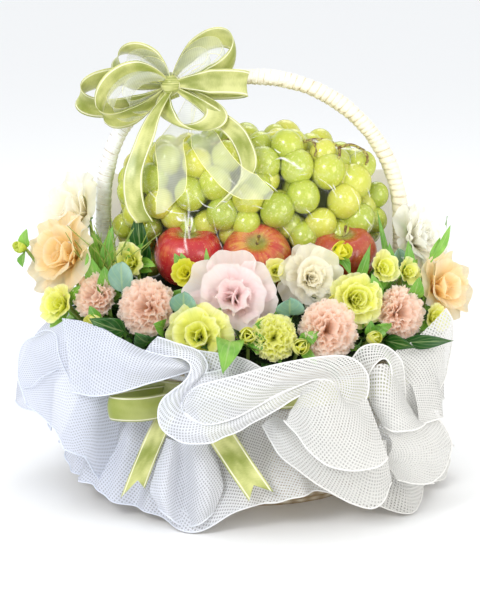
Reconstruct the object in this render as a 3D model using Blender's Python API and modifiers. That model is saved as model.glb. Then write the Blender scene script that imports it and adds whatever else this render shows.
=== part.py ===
"""Fruit and flower gift basket: an oval basket with a wrapped arch handle, fruit, a ring of blossoms and a net wrap.

Units are metres, +Z is up, the front is -Y, and the origin is the centre of the basket's flat base.
"""

import math
import random

import bmesh
import bpy
from mathutils import Matrix, Vector

MM = 0.001
GAP = 0.4 * MM  # clearance that touching pieces keep

# Basket: an oval tub, wider at the rim than at the base
OVAL = 0.85  # depth of the basket over its width
BASE_HALF_WIDTH = 112 * MM
RIM_HALF_WIDTH = 162 * MM
RIM_HEIGHT = 150 * MM
WALL = 6 * MM
FLOOR_THICKNESS = 7 * MM
BASKET_BANDS = 3
BAND_BULGE = 1.6 * MM
ROUND_STEPS = 28  # faces round the basket and the bed

# Planting bed: fills the tub, carries the fruit on its top and the stems on its slope
BED_HALF_WIDTH = 172 * MM
BED_HALF_DEPTH = 147 * MM
BED_TOP = 205 * MM
BED_EDGE = 158 * MM
BED_FLAT_SHARE = 0.56  # share of the half width that is level
BED_LIP = 151 * MM  # underside of the part that lies over the rim

# Handle: a wrapped rod bent to an arch
HANDLE_HALF_SPAN = 147 * MM
HANDLE_SPRING = 262 * MM  # height where the arch starts
HANDLE_TOP = 408 * MM
HANDLE_FOOT = 115 * MM
LEG_BEND = 215 * MM  # height below which the legs lean in with the basket's wall
LEG_LEAN = 0.2
HANDLE_RADIUS = 7.6 * MM
WRAP_TURNS = 20

# Liner: stands behind the fruit, from near one handle leg round to the other
LINER_HALF_WIDTH = 142 * MM
LINER_HALF_DEPTH = 106 * MM
LINER_START = 12  # degrees round from the right-hand side
LINER_STEPS = 18
LINER_TOP = 304 * MM
LINER_THICKNESS = 1.6 * MM

# Net wrap: gathered by a ribbon at the waist
NET_HALF_WIDTH = 161 * MM
NET_HALF_DEPTH = 137.5 * MM
NET_THICKNESS = 1.6 * MM
NET_STEPS = 56
NET_FRONT = (216, 324)  # degrees round the basket where the net's folds are smaller
NET_FRONT_STEPS = 24
NET_FLUTES = 8
WAIST_LOW = 112 * MM
WAIST_HIGH = 139 * MM
WAIST_OUT = 1.2 * MM

RIBBON_THICKNESS = 1.0 * MM
SATIN_WIDTH = 25 * MM
SHEER_WIDTH = 28 * MM

KNOT_RADIUS = 9.7 * MM
KNOT_OUT = 17 * MM  # distance of the bow's knot in front of the handle


def clear_scene():
    for obj in list(bpy.data.objects):
        bpy.data.objects.remove(obj, do_unlink=True)


def collection(name):
    made = bpy.data.collections.new(name)
    bpy.context.scene.collection.children.link(made)
    return made


def material(name, colour, roughness):
    made = bpy.data.materials.new(name)
    made.use_nodes = True
    shader = made.node_tree.nodes["Principled BSDF"]
    shader.inputs["Base Color"].default_value = (*colour, 1.0)
    shader.inputs["Roughness"].default_value = roughness
    shader.inputs["Metallic"].default_value = 0.0
    return made


def add_object(name, mesh, look, group):
    obj = bpy.data.objects.new(name, mesh)
    group.objects.link(obj)
    if look:
        mesh.materials.clear()
        mesh.materials.append(look)
    return obj


def mesh_from(name, bm):
    bmesh.ops.recalc_face_normals(bm, faces=bm.faces)
    mesh = bpy.data.meshes.new(name)
    bm.to_mesh(mesh)
    bm.free()
    return mesh


def loft(name, rings, look, group, smooth=True):
    """A closed solid through rings of equal point count, with a fan over each end."""
    bm = bmesh.new()
    rows = [[bm.verts.new(point) for point in ring] for ring in rings]
    for low, high in zip(rows, rows[1:]):
        for i in range(len(low)):
            j = (i + 1) % len(low)
            bm.faces.new((low[i], low[j], high[j], high[i]))
    for ring in (rows[0], rows[-1]):
        middle = bm.verts.new(sum((v.co for v in ring), Vector()) / len(ring))
        for i in range(len(ring)):
            bm.faces.new((ring[i], ring[(i + 1) % len(ring)], middle))
    mesh = mesh_from(name, bm)
    if smooth:
        mesh.shade_smooth()
    return add_object(name, mesh, look, group)


def open_sheet(name, rows, look, group, closed_round, thickness):
    """A grid of points given a thickness, such as cloth, ribbon or a leaf."""
    bm = bmesh.new()
    verts = [[bm.verts.new(point) for point in row] for row in rows]
    count = len(verts[0])
    for low, high in zip(verts, verts[1:]):
        for i in range(count if closed_round else count - 1):
            j = (i + 1) % count
            bm.faces.new((low[i], low[j], high[j], high[i]))
    obj = add_object(name, mesh_from(name, bm), look, group)
    solidify = obj.modifiers.new("thickness", "SOLIDIFY")
    solidify.thickness = thickness
    solidify.offset = 0.0
    return obj


def apply_modifiers(obj):
    """Replaces the object's mesh by the evaluated one."""
    bpy.context.view_layer.update()
    graph = bpy.context.evaluated_depsgraph_get()
    mesh = bpy.data.meshes.new_from_object(obj.evaluated_get(graph))
    obj.modifiers.clear()
    obj.data = mesh


def bodies_of(bm):
    """Sets of points that hang together, the largest last."""
    left, bodies = set(bm.verts), []
    while left:
        stack = [left.pop()]
        body = set(stack)
        while stack:
            for edge in stack.pop().link_edges:
                for vert in edge.verts:
                    if vert in left:
                        left.discard(vert)
                        body.add(vert)
                        stack.append(vert)
        bodies.append(body)
    return sorted(bodies, key=len)


def signed_volume(body):
    """Six times the volume inside a body's faces, below zero round a hollow."""
    faces = {face for vert in body for face in vert.link_faces}
    total = 0.0
    for face in faces:
        first, *rest = (vert.co for vert in face.verts)
        total += sum(first.dot(a.cross(b)) for a, b in zip(rest, rest[1:]))
    return total


def drop_scraps(obj):
    """Keeps the largest body of a mesh, fills the hollows in it and refuses to lose a piece of any size."""
    bm = bmesh.new()
    bm.from_mesh(obj.data)
    *scraps, largest = bodies_of(bm)
    for body in scraps:
        if len(body) > 8 and signed_volume(body) > 0:
            middle = sum((vert.co for vert in body), Vector()) / len(body) / MM
            raise ValueError(f"{obj.name} has a loose piece of {len(body)} points at {middle}")
    bmesh.ops.delete(bm, geom=[vert for body in scraps for vert in body], context="VERTS")
    bm.to_mesh(obj.data)
    bm.free()


def join_solids(base, others):
    """One solid from several that run into each other.

    The MANIFOLD solver is used, because EXACT leaves open edges where thin strips of ribbon cross at a shallow angle.
    """
    pieces = bpy.data.collections.new(base.name + "_pieces")
    for obj in others:
        apply_modifiers(obj)
        pieces.objects.link(obj)
    apply_modifiers(base)
    union = base.modifiers.new("join", "BOOLEAN")
    union.operation = "UNION"
    union.operand_type = "COLLECTION"
    union.collection = pieces
    union.solver = "MANIFOLD"
    apply_modifiers(base)
    for obj in others:
        bpy.data.objects.remove(obj, do_unlink=True)
    bpy.data.collections.remove(pieces)
    drop_scraps(base)
    return base


def cut_away(obj, cutters, solver="EXACT"):
    """Takes the cutters' shapes out of obj, and leaves the cutters in their hidden collection."""
    for cutter in cutters:
        cut = obj.modifiers.new("clear_" + cutter.name, "BOOLEAN")
        cut.operation = "DIFFERENCE"
        cut.object = cutter
        cut.solver = solver
    apply_modifiers(obj)
    drop_scraps(obj)


def helper(obj, cutters):
    """Marks an object as a cutter."""
    for group in list(obj.users_collection):
        group.objects.unlink(obj)
    cutters.objects.link(obj)
    obj.hide_render = True
    obj.display_type = "WIRE"
    return obj


def oval(half_width, half_depth, angle, height):
    return Vector((half_width * math.cos(angle), half_depth * math.sin(angle), height))


def turned(name, profile, look, group, depth_scale=OVAL):
    """A turned solid from (radius, height) pairs that start and end on the axis, drawn out to an oval."""
    bm = bmesh.new()
    points = [bm.verts.new((radius, 0, height)) for radius, height in profile]
    for a, b in zip(points, points[1:]):
        bm.edges.new((a, b))
    mesh = bpy.data.meshes.new(name)
    bm.to_mesh(mesh)
    bm.free()
    obj = add_object(name, mesh, look, group)
    screw = obj.modifiers.new("turn", "SCREW")
    screw.steps = screw.render_steps = ROUND_STEPS
    screw.use_merge_vertices = True
    screw.merge_threshold = 0.00005
    screw.use_smooth_shade = True
    obj.scale.y = depth_scale
    return obj


def make_basket(look, group):
    """Oval tub with three broad woven bands on its wall and a rolled rim."""
    inner_base = BASE_HALF_WIDTH - WALL
    inner_rim = RIM_HALF_WIDTH - WALL
    outside = []
    for i in range(BASKET_BANDS, 0, -1):
        for share, bulge in ((i, 0.0), (i - 0.5, BAND_BULGE)):
            height = RIM_HEIGHT * 0.94 * share / BASKET_BANDS
            radius = BASE_HALF_WIDTH + (RIM_HALF_WIDTH - BASE_HALF_WIDTH) * height / RIM_HEIGHT
            outside.append((radius - BAND_BULGE + bulge, height))
    profile = [
        (0.0, FLOOR_THICKNESS),
        (inner_base, FLOOR_THICKNESS),
        (inner_rim, RIM_HEIGHT - 2 * MM),
        (inner_rim + 2 * MM, RIM_HEIGHT),
        (RIM_HALF_WIDTH, RIM_HEIGHT),
        (RIM_HALF_WIDTH + 2 * MM, RIM_HEIGHT - 4 * MM),
        *outside,
        (BASE_HALF_WIDTH - 2 * MM, 0.0),
        (0.0, 0.0),
    ]
    return turned("basket", profile, look, group)


def bed_height(x, y):
    """Height of the planting bed's top over a point."""
    share = math.hypot(x / BED_HALF_WIDTH, y / BED_HALF_DEPTH)
    slope = min(max((share - BED_FLAT_SHARE) / (1 - BED_FLAT_SHARE), 0.0), 1.0)
    return BED_TOP + (BED_EDGE - BED_TOP) * slope


def make_bed(look, group, cutters):
    """Moist foam and moss: a plug inside the tub and a mound that lies over the rim."""
    depth_scale = BED_HALF_DEPTH / BED_HALF_WIDTH
    base_radius = (BASE_HALF_WIDTH - WALL - GAP) * 0.99
    wall_radius = (RIM_HALF_WIDTH - WALL - GAP) * 0.985
    profile = [
        (0.0, BED_TOP),
        (BED_HALF_WIDTH * BED_FLAT_SHARE, BED_TOP),
        (BED_HALF_WIDTH * (1 + BED_FLAT_SHARE) / 2, (BED_TOP + BED_EDGE) / 2),
        (BED_HALF_WIDTH, BED_EDGE),
        (BED_HALF_WIDTH - 2 * MM, BED_LIP),
        (wall_radius, BED_LIP),
        (base_radius, FLOOR_THICKNESS + GAP),
        (0.0, FLOOR_THICKNESS + GAP),
    ]
    bed = turned("planting_bed", profile, look, group, depth_scale)
    apply_modifiers(bed)
    bed.data.transform(Matrix.Diagonal((1, depth_scale, 1, 1)))
    bed.scale.y = 1.0
    holes = [
        handle_room("left_leg_hole", -0.006, 0.16, 6, group, cutters),
        handle_room("right_leg_hole", 0.84, 1.006, 6, group, cutters),
    ]
    cut_away(bed, holes)
    return bed


def handle_point(share):
    """Centre of the handle: 0 is the left foot, 1 the right foot, and the left shoulder is a little squarer."""
    leg = HANDLE_SPRING - HANDLE_FOOT
    arch = math.pi * HANDLE_HALF_SPAN
    along = share * (arch + 2 * leg)
    if leg < along < leg + arch:
        turn = math.pi * (along - leg) / arch
        power = 0.75 if turn < math.pi / 2 else 0.98
        x = -math.copysign(abs(math.cos(turn)) ** power, math.cos(turn)) * HANDLE_HALF_SPAN
        return Vector((x, 0, HANDLE_SPRING + (HANDLE_TOP - HANDLE_SPRING) * math.sin(turn) ** power))
    side = -1 if along <= leg else 1
    height = HANDLE_FOOT + (along if side < 0 else 2 * leg + arch - along)
    lean = LEG_LEAN * max(LEG_BEND - height, 0.0)
    return Vector((side * (HANDLE_HALF_SPAN - lean), 0, height))


def rod(name, points, radii, look, group):
    """A round bar along the given points: a curve, with a radius at each point."""
    curve = bpy.data.curves.new(name, "CURVE")
    curve.dimensions = "3D"
    curve.bevel_depth = 1.0
    curve.bevel_resolution = 2
    curve.use_fill_caps = True
    spline = curve.splines.new("POLY")
    spline.points.add(len(points) - 1)
    for place, point, radius in zip(spline.points, points, radii):
        place.co = (*point, 1.0)
        place.radius = radius
    return add_object(name, curve, look, group)


def make_handle(look, group):
    """Bent rod whose paper wrap shows as low rings."""
    steps = 2 * WRAP_TURNS
    points = [handle_point(i / steps) for i in range(steps + 1)]
    radii = [HANDLE_RADIUS * (1.04 if i % 2 else 0.95) for i in range(steps + 1)]
    return rod("handle", points, radii, look, group)


def handle_room(name, start, end, steps, group, cutters):
    """A cutter that leaves room for a stretch of the handle."""
    points = [handle_point(start + (end - start) * i / steps) for i in range(steps + 1)]
    bar = rod(name, points, [HANDLE_RADIUS * 1.12 + GAP] * (steps + 1), None, group)
    bpy.context.view_layer.update()
    graph = bpy.context.evaluated_depsgraph_get()
    mesh = bpy.data.meshes.new_from_object(bar.evaluated_get(graph))
    bpy.data.objects.remove(bar, do_unlink=True)
    bm = bmesh.new()
    bm.from_mesh(mesh)
    bmesh.ops.remove_doubles(bm, verts=bm.verts, dist=0.01 * MM)
    return helper(add_object(name, mesh_from(name, bm), None, group), cutters)


# Apples: name, centre and radius in mm, then how far the core leans from upright to the viewer, in degrees
APPLES = (
    ("apple_left", (-62, -48, 240.5), 34.5, 12),
    ("apple_middle", (4, -55, 239.5), 35.0, 38),
    ("apple_right", (88, -42, 240.5), 34.0, 20),
)


def make_apple(name, centre, radius, lean, look, group):
    """Five soft lobes round a stalk cavity and a shallower eye."""
    bm = bmesh.new()
    bmesh.ops.create_uvsphere(bm, u_segments=15, v_segments=7, radius=1.0)
    for vert in bm.verts:
        polar = math.acos(max(-1.0, min(1.0, vert.co.z)))
        around = math.atan2(vert.co.y, vert.co.x)
        lobe = 1 + 0.02 * math.cos(5 * around) * (0.4 + 0.6 * (polar > math.pi / 2))
        width = math.sin(polar) ** 0.92 * lobe * (1 - 0.06 * (1 - math.cos(polar)) / 2)
        height = 0.90 * math.cos(polar)
        height -= 0.30 * math.exp(-((polar / 0.42) ** 2))
        height += 0.16 * math.exp(-(((math.pi - polar) / 0.35) ** 2))
        vert.co = Vector((width * math.cos(around), width * math.sin(around), height)) * radius * MM
    obj = add_object(name, mesh_from(name, bm), look, group)
    obj.data.shade_smooth()
    obj.location = Vector(centre) * MM
    obj.rotation_euler = (math.radians(lean), 0, 0)
    return obj


# Grapes that show at the front: x, z and radius in mm. Each lies on the front of the heap, and has one behind it.
GRAPES = (
    (34, 344, 15.5), (11, 329, 16.0), (43, 325, 16.5), (73, 320, 17.0), (100, 309, 16.0), (107, 322, 14.0),
    (49, 298, 16.0), (89, 291, 16.5), (104, 272, 15.5), (24, 285, 16.5), (66, 270, 15.5), (50, 258, 14.5),
    (-4, 297, 15.5), (-29, 282, 15.5), (-6, 273, 13.5), (-36, 311, 16.0), (-25, 335, 15.0), (-53, 328, 15.0),
    (-60, 300, 15.5), (-96, 312, 15.0), (-90, 290, 14.5), (-118, 298, 14.0), (-113, 277, 13.5), (-114, 311, 14.0),
    (-82, 330, 14.5), (5, 309, 13.0), (69, 336, 13.5), (84, 258, 13.0),
)
HEAP_MIDDLE = Vector((-4, 8, 272)) * MM
HEAP_HALF = Vector((142, 60, 96)) * MM
TOP_GRAPES = 7
HEAP_SHARE_OF_FACES = 0.5
APPLE_ROOM = 0.9  # how much wider than an apple its hollow in the heap is, in mm


def heap_front(x, z, radius):
    """Distance of a grape's centre in front of the heap's middle plane."""
    across = (x - HEAP_MIDDLE.x) / HEAP_HALF.x
    up = (z - HEAP_MIDDLE.z) / HEAP_HALF.z
    bulge = math.sqrt(max(1 - across * across - up * up, 0.04))
    return HEAP_HALF.y * bulge - 0.2 * radius


def make_grape(name, centre, radius, lean, group):
    bm = bmesh.new()
    bmesh.ops.create_uvsphere(bm, u_segments=7, v_segments=5, radius=radius * 1.04)
    bmesh.ops.scale(bm, vec=(1, 1, 1.08), verts=bm.verts)
    obj = add_object(name, mesh_from(name, bm), None, group)
    obj.data.transform(Matrix.Translation(centre) @ Matrix.Rotation(lean, 4, "Y"))
    return obj


def make_grapes(look, group, cutters):
    """Two bunches as one heap: a plain core, a grape for each that shows, and the same over the back."""
    chance = random.Random(7)
    core = bmesh.new()
    bmesh.ops.create_icosphere(core, subdivisions=2, radius=1.0)
    bmesh.ops.scale(core, vec=(HEAP_HALF.x * 0.95, HEAP_HALF.y * 0.88, HEAP_HALF.z * 0.86), verts=core.verts)
    bmesh.ops.translate(core, vec=HEAP_MIDDLE - Vector((0, 0, 6 * MM)), verts=core.verts)
    heap = add_object("grapes", mesh_from("grapes", core), look, group)
    berries = []
    for i, (x, z, radius) in enumerate(GRAPES):
        x, z, radius = x * MM, z * MM, radius * MM
        reach = heap_front(x, z, radius)
        lean = chance.uniform(-0.6, 0.6)
        for side in (-1, 1):
            behind = side > 0
            centre = Vector((x + behind * chance.uniform(-4, 4) * MM, HEAP_MIDDLE.y + side * reach, z))
            if behind and reach < 0.35 * HEAP_HALF.y:
                continue
            berries.append(make_grape(f"grape_{i}_{side}", centre, radius, side * lean, group))
    for i in range(TOP_GRAPES):
        x = (i - (TOP_GRAPES - 1) / 2) * 30 * MM
        z = HEAP_MIDDLE.z + 0.74 * HEAP_HALF.z * math.sqrt(1 - (x / HEAP_HALF.x) ** 2)
        centre = Vector((HEAP_MIDDLE.x + x, HEAP_MIDDLE.y + chance.uniform(-4, 4) * MM, z))
        berries.append(make_grape(f"grape_top_{i}", centre, 14.5 * MM, chance.uniform(-0.6, 0.6), group))
    join_solids(heap, berries)
    thin = heap.modifiers.new("fewer_faces", "DECIMATE")
    thin.ratio = HEAP_SHARE_OF_FACES
    apply_modifiers(heap)
    clearances = []
    for name, centre, radius, lean in APPLES:
        room = make_apple(name + "_room", centre, radius + APPLE_ROOM, lean, None, group)
        clearances.append(helper(room, cutters))
    clearances.append(handle_room("handle_arch", 0.1, 0.9, 30, group, cutters))
    bpy.ops.mesh.primitive_cube_add(size=1.0, location=(0, 0, BED_TOP + GAP - 60 * MM))
    below = bpy.context.object
    below.scale = (0.5, 0.5, 0.12)
    clearances.append(helper(below, cutters))
    cut_away(heap, clearances, "MANIFOLD")
    heap.data.shade_smooth()
    return heap


# Blossoms: name, kind, centre in mm and radius in mm, as they stand round the front and the sides
BLOSSOMS = (
    ("lisianthus_pink", "open", (-18, -122, 217), 34),
    ("carnation_peach_left", "ruffled", (-100, -116, 206), 26),
    ("carnation_peach_far_left", "ruffled", (-150, -86, 210), 20),
    ("lisianthus_apricot_left", "open", (-184, -54, 243), 28),
    ("lisianthus_cream_left", "open", (-180, -26, 279), 21),
    ("lisianthus_cream_middle", "open", (56, -102, 232), 23),
    ("lisianthus_peach_front", "ruffled", (70, -142, 191), 24),
    ("carnation_peach_right", "ruffled", (140, -98, 196), 25),
    ("lisianthus_white_right", "open", (166, -30, 255), 22),
    ("lisianthus_apricot_right", "open", (186, -50, 209), 23),
    ("carnation_lime_right", "ruffled", (98, -114, 213), 19),
    ("carnation_lime_front", "ruffled", (20, -152, 186), 19),
    ("lisianthus_lime_front", "open", (-51, -152, 188), 19),
    ("bloom_lime_upper_left", "cup", (-118, -80, 241), 15),
    ("bloom_yellow_left", "cup", (-64, -99, 235), 11),
    ("bloom_lime_low_left", "cup", (-186, -84, 201), 15),
    ("bud_lime_left", "bud", (-150, -114, 190), 10),
    ("bud_yellow_right", "bud", (84, -90, 254), 9),
    ("bloom_lime_upper_right", "cup", (125, -82, 236), 12),
    ("bloom_lime_middle", "cup", (22, -98, 237), 9),
    ("bud_lime_front", "bud", (-5, -162, 190), 8),
    ("bud_lime_front_right", "bud", (44, -162, 180), 8),
    ("bloom_lime_side_right", "cup", (150, -66, 228), 11),
    ("bloom_lime_low_right", "cup", (176, -80, 186), 11),
    ("bud_lime_low_right", "bud", (113, -134, 181), 7.5),
    ("bud_green_left", "bud", (-225, -50, 249), 6.5),
)

# Profile of each kind from its middle out and down to the calyx: (share of radius, share of height, ruffle)
KINDS = {
    "open": (
        (0.10, 0.10, 0.0), (0.34, 0.42, 0.06), (0.62, 0.40, 0.10), (0.98, 0.36, 0.13),
        (0.92, 0.12, 0.10), (0.55, -0.24, 0.03), (0.16, -0.52, 0.0),
    ),
    "ruffled": (
        (0.20, 0.52, 0.12), (0.50, 0.50, 0.16), (0.82, 0.34, 0.18), (1.0, 0.06, 0.16),
        (0.80, -0.14, 0.10), (0.34, -0.36, 0.03), (0.20, -0.66, 0.0),
    ),
    "cup": (
        (0.16, 0.24, 0.05), (0.52, 0.48, 0.12), (0.95, 0.44, 0.16), (0.94, 0.0, 0.08), (0.58, -0.42, 0.0),
        (0.22, -0.66, 0.0),
    ),
    "bud": ((0.25, 1.05, 0.08), (0.74, 0.70, 0.08), (1.0, 0.10, 0.04), (0.74, -0.55, 0.0), (0.26, -0.95, 0.0)),
}
POINTS_ROUND = {"open": 10, "ruffled": 10, "cup": 7, "bud": 6}
PETALS = {"open": 4, "ruffled": 6, "cup": 3, "bud": 3}
STEM_RADIUS = 1.8 * MM


def facing(centre):
    """The way a blossom looks: out from the basket, up, and a little towards the front."""
    out = Vector((centre.x / BED_HALF_WIDTH**2, centre.y / BED_HALF_DEPTH**2, 0)).normalized()
    way = out + Vector((0, -0.30, 0.62))
    return way.normalized()


def ring_round(centre, axis, radius, ruffle, count, petals, turn=0.0):
    """A ring of points square to an axis, waved by the petals."""
    side = axis.cross(Vector((0, 0, 1)))
    side = side.normalized() if side.length > 0.05 else Vector((1, 0, 0))
    across = axis.cross(side)
    points = []
    for i in range(count):
        angle = 2 * math.pi * i / count + turn
        wave = 1 + ruffle * math.cos(petals * angle)
        out = side * math.cos(angle) + across * math.sin(angle)
        points.append(centre + out * radius * wave + axis * radius * ruffle * 0.6 * math.sin(petals * angle))
    return points


def make_blossom(name, kind, centre, radius, look, group):
    """A head with waved rings for petals, and a stem down to the planting bed."""
    centre = Vector(centre) * MM
    radius = radius * MM
    axis = facing(centre)
    count = POINTS_ROUND[kind]
    rings = [
        ring_round(centre + axis * radius * up, axis, radius * out, ruffle, count, PETALS[kind], 0.5 * i)
        for i, (out, up, ruffle) in enumerate(KINDS[kind])
    ]
    neck = centre + axis * radius * (KINDS[kind][-1][1] - 0.2)
    foot_xy = Vector((neck.x * 0.93, neck.y * 0.93, 0))
    share = math.hypot(foot_xy.x / BED_HALF_WIDTH, foot_xy.y / BED_HALF_DEPTH)
    if share > 0.96:
        foot_xy *= 0.96 / share
    foot = Vector((foot_xy.x, foot_xy.y, bed_height(foot_xy.x, foot_xy.y) + 1.6 * MM))
    down = (foot - neck).normalized()
    last_turn = 0.5 * (len(rings) - 1)
    rings.append(ring_round(neck, (axis - down).normalized(), STEM_RADIUS, 0, count, 0, last_turn))
    rings.append(ring_round(foot, -down, STEM_RADIUS, 0, count, 0, last_turn))
    return loft(name, rings, look, group)


# Leaves: name, foot and tip in mm, width in mm and how far the blade curls
LEAVES = (
    ("leaf_dark_upper_left", (-103, -54, 212), (-110, -56, 286), 20, 0.06),
    ("leaf_green_far_left", (-130, -54, 200), (-151, -50, 262), 18, 0.12),
    ("leaf_grey_left", (-122, -92, 194), (-124, -100, 244), 14, 0.05),
    ("leaf_under_apple", (-88, -88, 207), (-42, -96, 216), 11, 0.10),
    ("leaf_spike_middle", (-38, -99, 200), (-44, -100, 259), 8, 0.05),
    ("leaf_grey_middle", (-64, -124, 188), (-64, -146, 224), 15, 0.05),
    ("leaf_dark_low_left", (-117, -126, 184), (-151, -150, 203), 18, 0.10),
    ("leaf_dark_front_left", (-96, -138, 179), (-108, -174, 196), 18, 0.10),
    ("leaf_bright_front", (-74, -132, 172), (-78, -166, 186), 10, 0.10),
    ("leaf_over_net", (-21, -142, 176), (-27, -208, 168), 16, 0.22),
    ("leaf_grey_right", (34, -124, 190), (34, -146, 218), 16, 0.05),
    ("leaf_tall_right", (94, -86, 206), (112, -84, 260), 8, 0.06),
    ("leaf_thin_right", (135, -40, 200), (121, -36, 283), 6, 0.04),
    ("leaf_grey_upper_right", (142, -40, 196), (141, -52, 248), 12, 0.05),
    ("leaf_white_side_right", (166, 4, 168), (194, 8, 268), 9, 0.06),
    ("leaf_dark_blade_right", (137, -117, 172), (186, -148, 182), 12, 0.06),
    ("leaf_dark_low_right", (122, -112, 173), (150, -158, 178), 12, 0.06),
    ("leaf_dark_front_right", (99, -128, 173), (95, -168, 181), 8, 0.06),
)
LEAF_OUTLINE = (0.12, 0.95, 0.85, 0.10)
LEAF_THICKNESS = 1.1 * MM


def make_leaf(name, foot, tip, width, curl, look, group):
    """A blade folded a little along its rib, with its outline from foot to tip."""
    foot = Vector(foot) * MM
    tip = Vector(tip) * MM
    along = tip - foot
    out = facing((foot + tip) / 2)
    across = along.cross(out).normalized()
    face = across.cross(along).normalized()
    rows = []
    for i, share in enumerate(LEAF_OUTLINE):
        at = i / (len(LEAF_OUTLINE) - 1)
        bow = face * along.length * curl * math.sin(math.pi * at)
        rib = foot + along * at + bow
        half = across * width * MM * 0.5 * share
        lift = face * width * MM * 0.16 * share
        rows.append([rib - half + lift, rib, rib + half + lift])
    return open_sheet(name, rows, look, group, False, LEAF_THICKNESS)


def make_liner(look, group):
    """Cloth that stands behind the fruit between the handle's legs."""
    rows = []
    for rise in (0.0, 0.5, 1.0):
        row = []
        for i in range(LINER_STEPS + 1):
            angle = math.radians(LINER_START + (180 - 2 * LINER_START) * i / LINER_STEPS)
            fold = 2.5 * MM * math.sin(9 * angle) * (0.3 + rise)
            top = LINER_TOP + 4 * MM * math.sin(2.0 * angle + 0.6) + 3 * MM * math.sin(7 * angle)
            flare = fold + 6 * MM * rise
            point = oval(LINER_HALF_WIDTH + flare, LINER_HALF_DEPTH + flare, angle, 0)
            foot = bed_height(point.x, point.y) + 1.4 * MM
            point.z = foot + (top - foot) * rise
            row.append(point)
        rows.append(row)
    return open_sheet("liner", rows, look, group, False, LINER_THICKNESS)


# Net wrap by angle round the basket in degrees (0 is right, 270 the front): distance out and height in mm
SKIRT_HEM = (
    (0, 36, 30), (15, 34, 10), (35, 38, 26), (60, 34, 6), (85, 38, 24), (110, 34, 5), (135, 36, 26),
    (160, 32, 10), (180, 27, 34), (200, 30, 20), (215, 32, 27), (235, 30, 12), (253, 42, 2), (270, 27, 28),
    (288, 32, 38), (303, 34, 20), (318, 36, 3), (332, 32, 16), (346, 37, 8), (360, 36, 30),
)
CREST = (
    (0, 36, 166), (90, 34, 166), (150, 30, 168), (180, 21, 168), (205, 27, 175), (222, 33, 180),
    (245, 38, 181), (258, 40, 176), (272, 41, 172), (292, 40, 172), (310, 38, 170), (330, 37, 168), (360, 36, 166),
)
RUFFLE_HEM = (
    (0, 34, 74), (20, 38, 80), (45, 46, 98), (68, 50, 78), (90, 48, 100), (112, 52, 80), (138, 56, 98),
    (160, 62, 82), (180, 70, 78), (200, 66, 84), (211, 60, 78), (222, 58, 134), (232, 64, 138), (243, 62, 146),
    (249, 66, 130), (255, 77, 101), (263, 79, 105), (272, 79, 114), (279, 81, 118), (284, 84, 90), (291, 85, 77),
    (299, 82, 80), (304, 78, 102), (310, 76, 104), (318, 66, 104), (328, 48, 98), (346, 34, 78), (360, 34, 74),
)
# Rows of the net from hem to hem, and how far each lies between the waist or the crest and the part's end
NET_ROWS = (
    ("skirt", 1.0), ("skirt", 0.55), ("skirt", 0.0),
    ("crest", 0.0), ("crest", 0.3), ("crest", 1.0), ("ruffle", 0.3), ("ruffle", 0.65), ("ruffle", 1.0),
)


def around(table, angle):
    """Distance out and height at an angle, eased between the rows of a table."""
    degrees = math.degrees(angle) % 360
    for (low, *first), (high, *last) in zip(table, table[1:]):
        if degrees <= high:
            share = (1 - math.cos(math.pi * (degrees - low) / (high - low))) / 2
            return [(a + (b - a) * share) * MM for a, b in zip(first, last)]


def net_point(part, share, angle):
    """A point of the net, whose flutes grow towards both hems."""
    beat = math.cos(NET_FLUTES * angle + 0.9 * math.sin(2 * angle))
    crest_out, crest = around(CREST, angle)
    if part == "skirt":
        out, hem = around(SKIRT_HEM, angle)
        reach = WAIST_OUT + (out - WAIST_OUT) * share**1.15 + 6 * MM * beat * share * share
        height = WAIST_LOW + (hem - WAIST_LOW) * share
    elif part == "crest":
        reach = WAIST_OUT + (crest_out - WAIST_OUT) * share**0.2
        height = WAIST_HIGH + (crest - WAIST_HIGH) * share
    else:
        out, hem = around(RUFFLE_HEM, angle)
        reach = crest_out + (out - crest_out) * math.sin(share * math.pi / 2) + 8 * MM * beat * share
        height = crest + (hem - crest) * share**1.6
    return oval(NET_HALF_WIDTH + reach, NET_HALF_DEPTH + reach, angle, height)


def net_angles():
    """Angles round the net, closer together at the front."""
    low, high = NET_FRONT
    plain_steps = NET_STEPS - NET_FRONT_STEPS
    front = [low + (high - low) * i / NET_FRONT_STEPS for i in range(NET_FRONT_STEPS)]
    plain = [high + (360 - high + low) * i / plain_steps for i in range(plain_steps)]
    return [math.radians(degrees) for degrees in front + plain]


def make_net(look, group):
    """White gauze: a skirt below the waist, a crest round the blossoms and a ruffle that falls over in front."""
    rows = [[net_point(part, share, angle) for angle in net_angles()] for part, share in NET_ROWS]
    return open_sheet("net_wrap", rows, look, group, True, NET_THICKNESS)


def ribbon(name, path, sides, width, look, group, taper=None):
    """A strip that follows a path, with a direction across it at each point."""
    rows = []
    for i, (point, side) in enumerate(zip(path, sides)):
        half = side.normalized() * width / 2 * (taper[i] if taper else 1.0)
        rows.append([point - half, point + half])
    return open_sheet(name, rows, look, group, False, RIBBON_THICKNESS)


def smooth_path(points, count):
    """Points at even steps of a smooth curve through the given ones (Catmull-Rom)."""
    ends = [points[0] * 2 - points[1], *points, points[-1] * 2 - points[-2]]
    path = []
    for i in range(count):
        place = i / (count - 1) * (len(points) - 1)
        k = min(int(place), len(points) - 2)
        t = place - k
        a, b, c, d = ends[k : k + 4]
        path.append(
            0.5 * (2 * b + (c - a) * t + (2 * a - 5 * b + 4 * c - d) * t * t + (3 * b - 3 * c + d - a) * t**3)
        )
    return path


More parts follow.
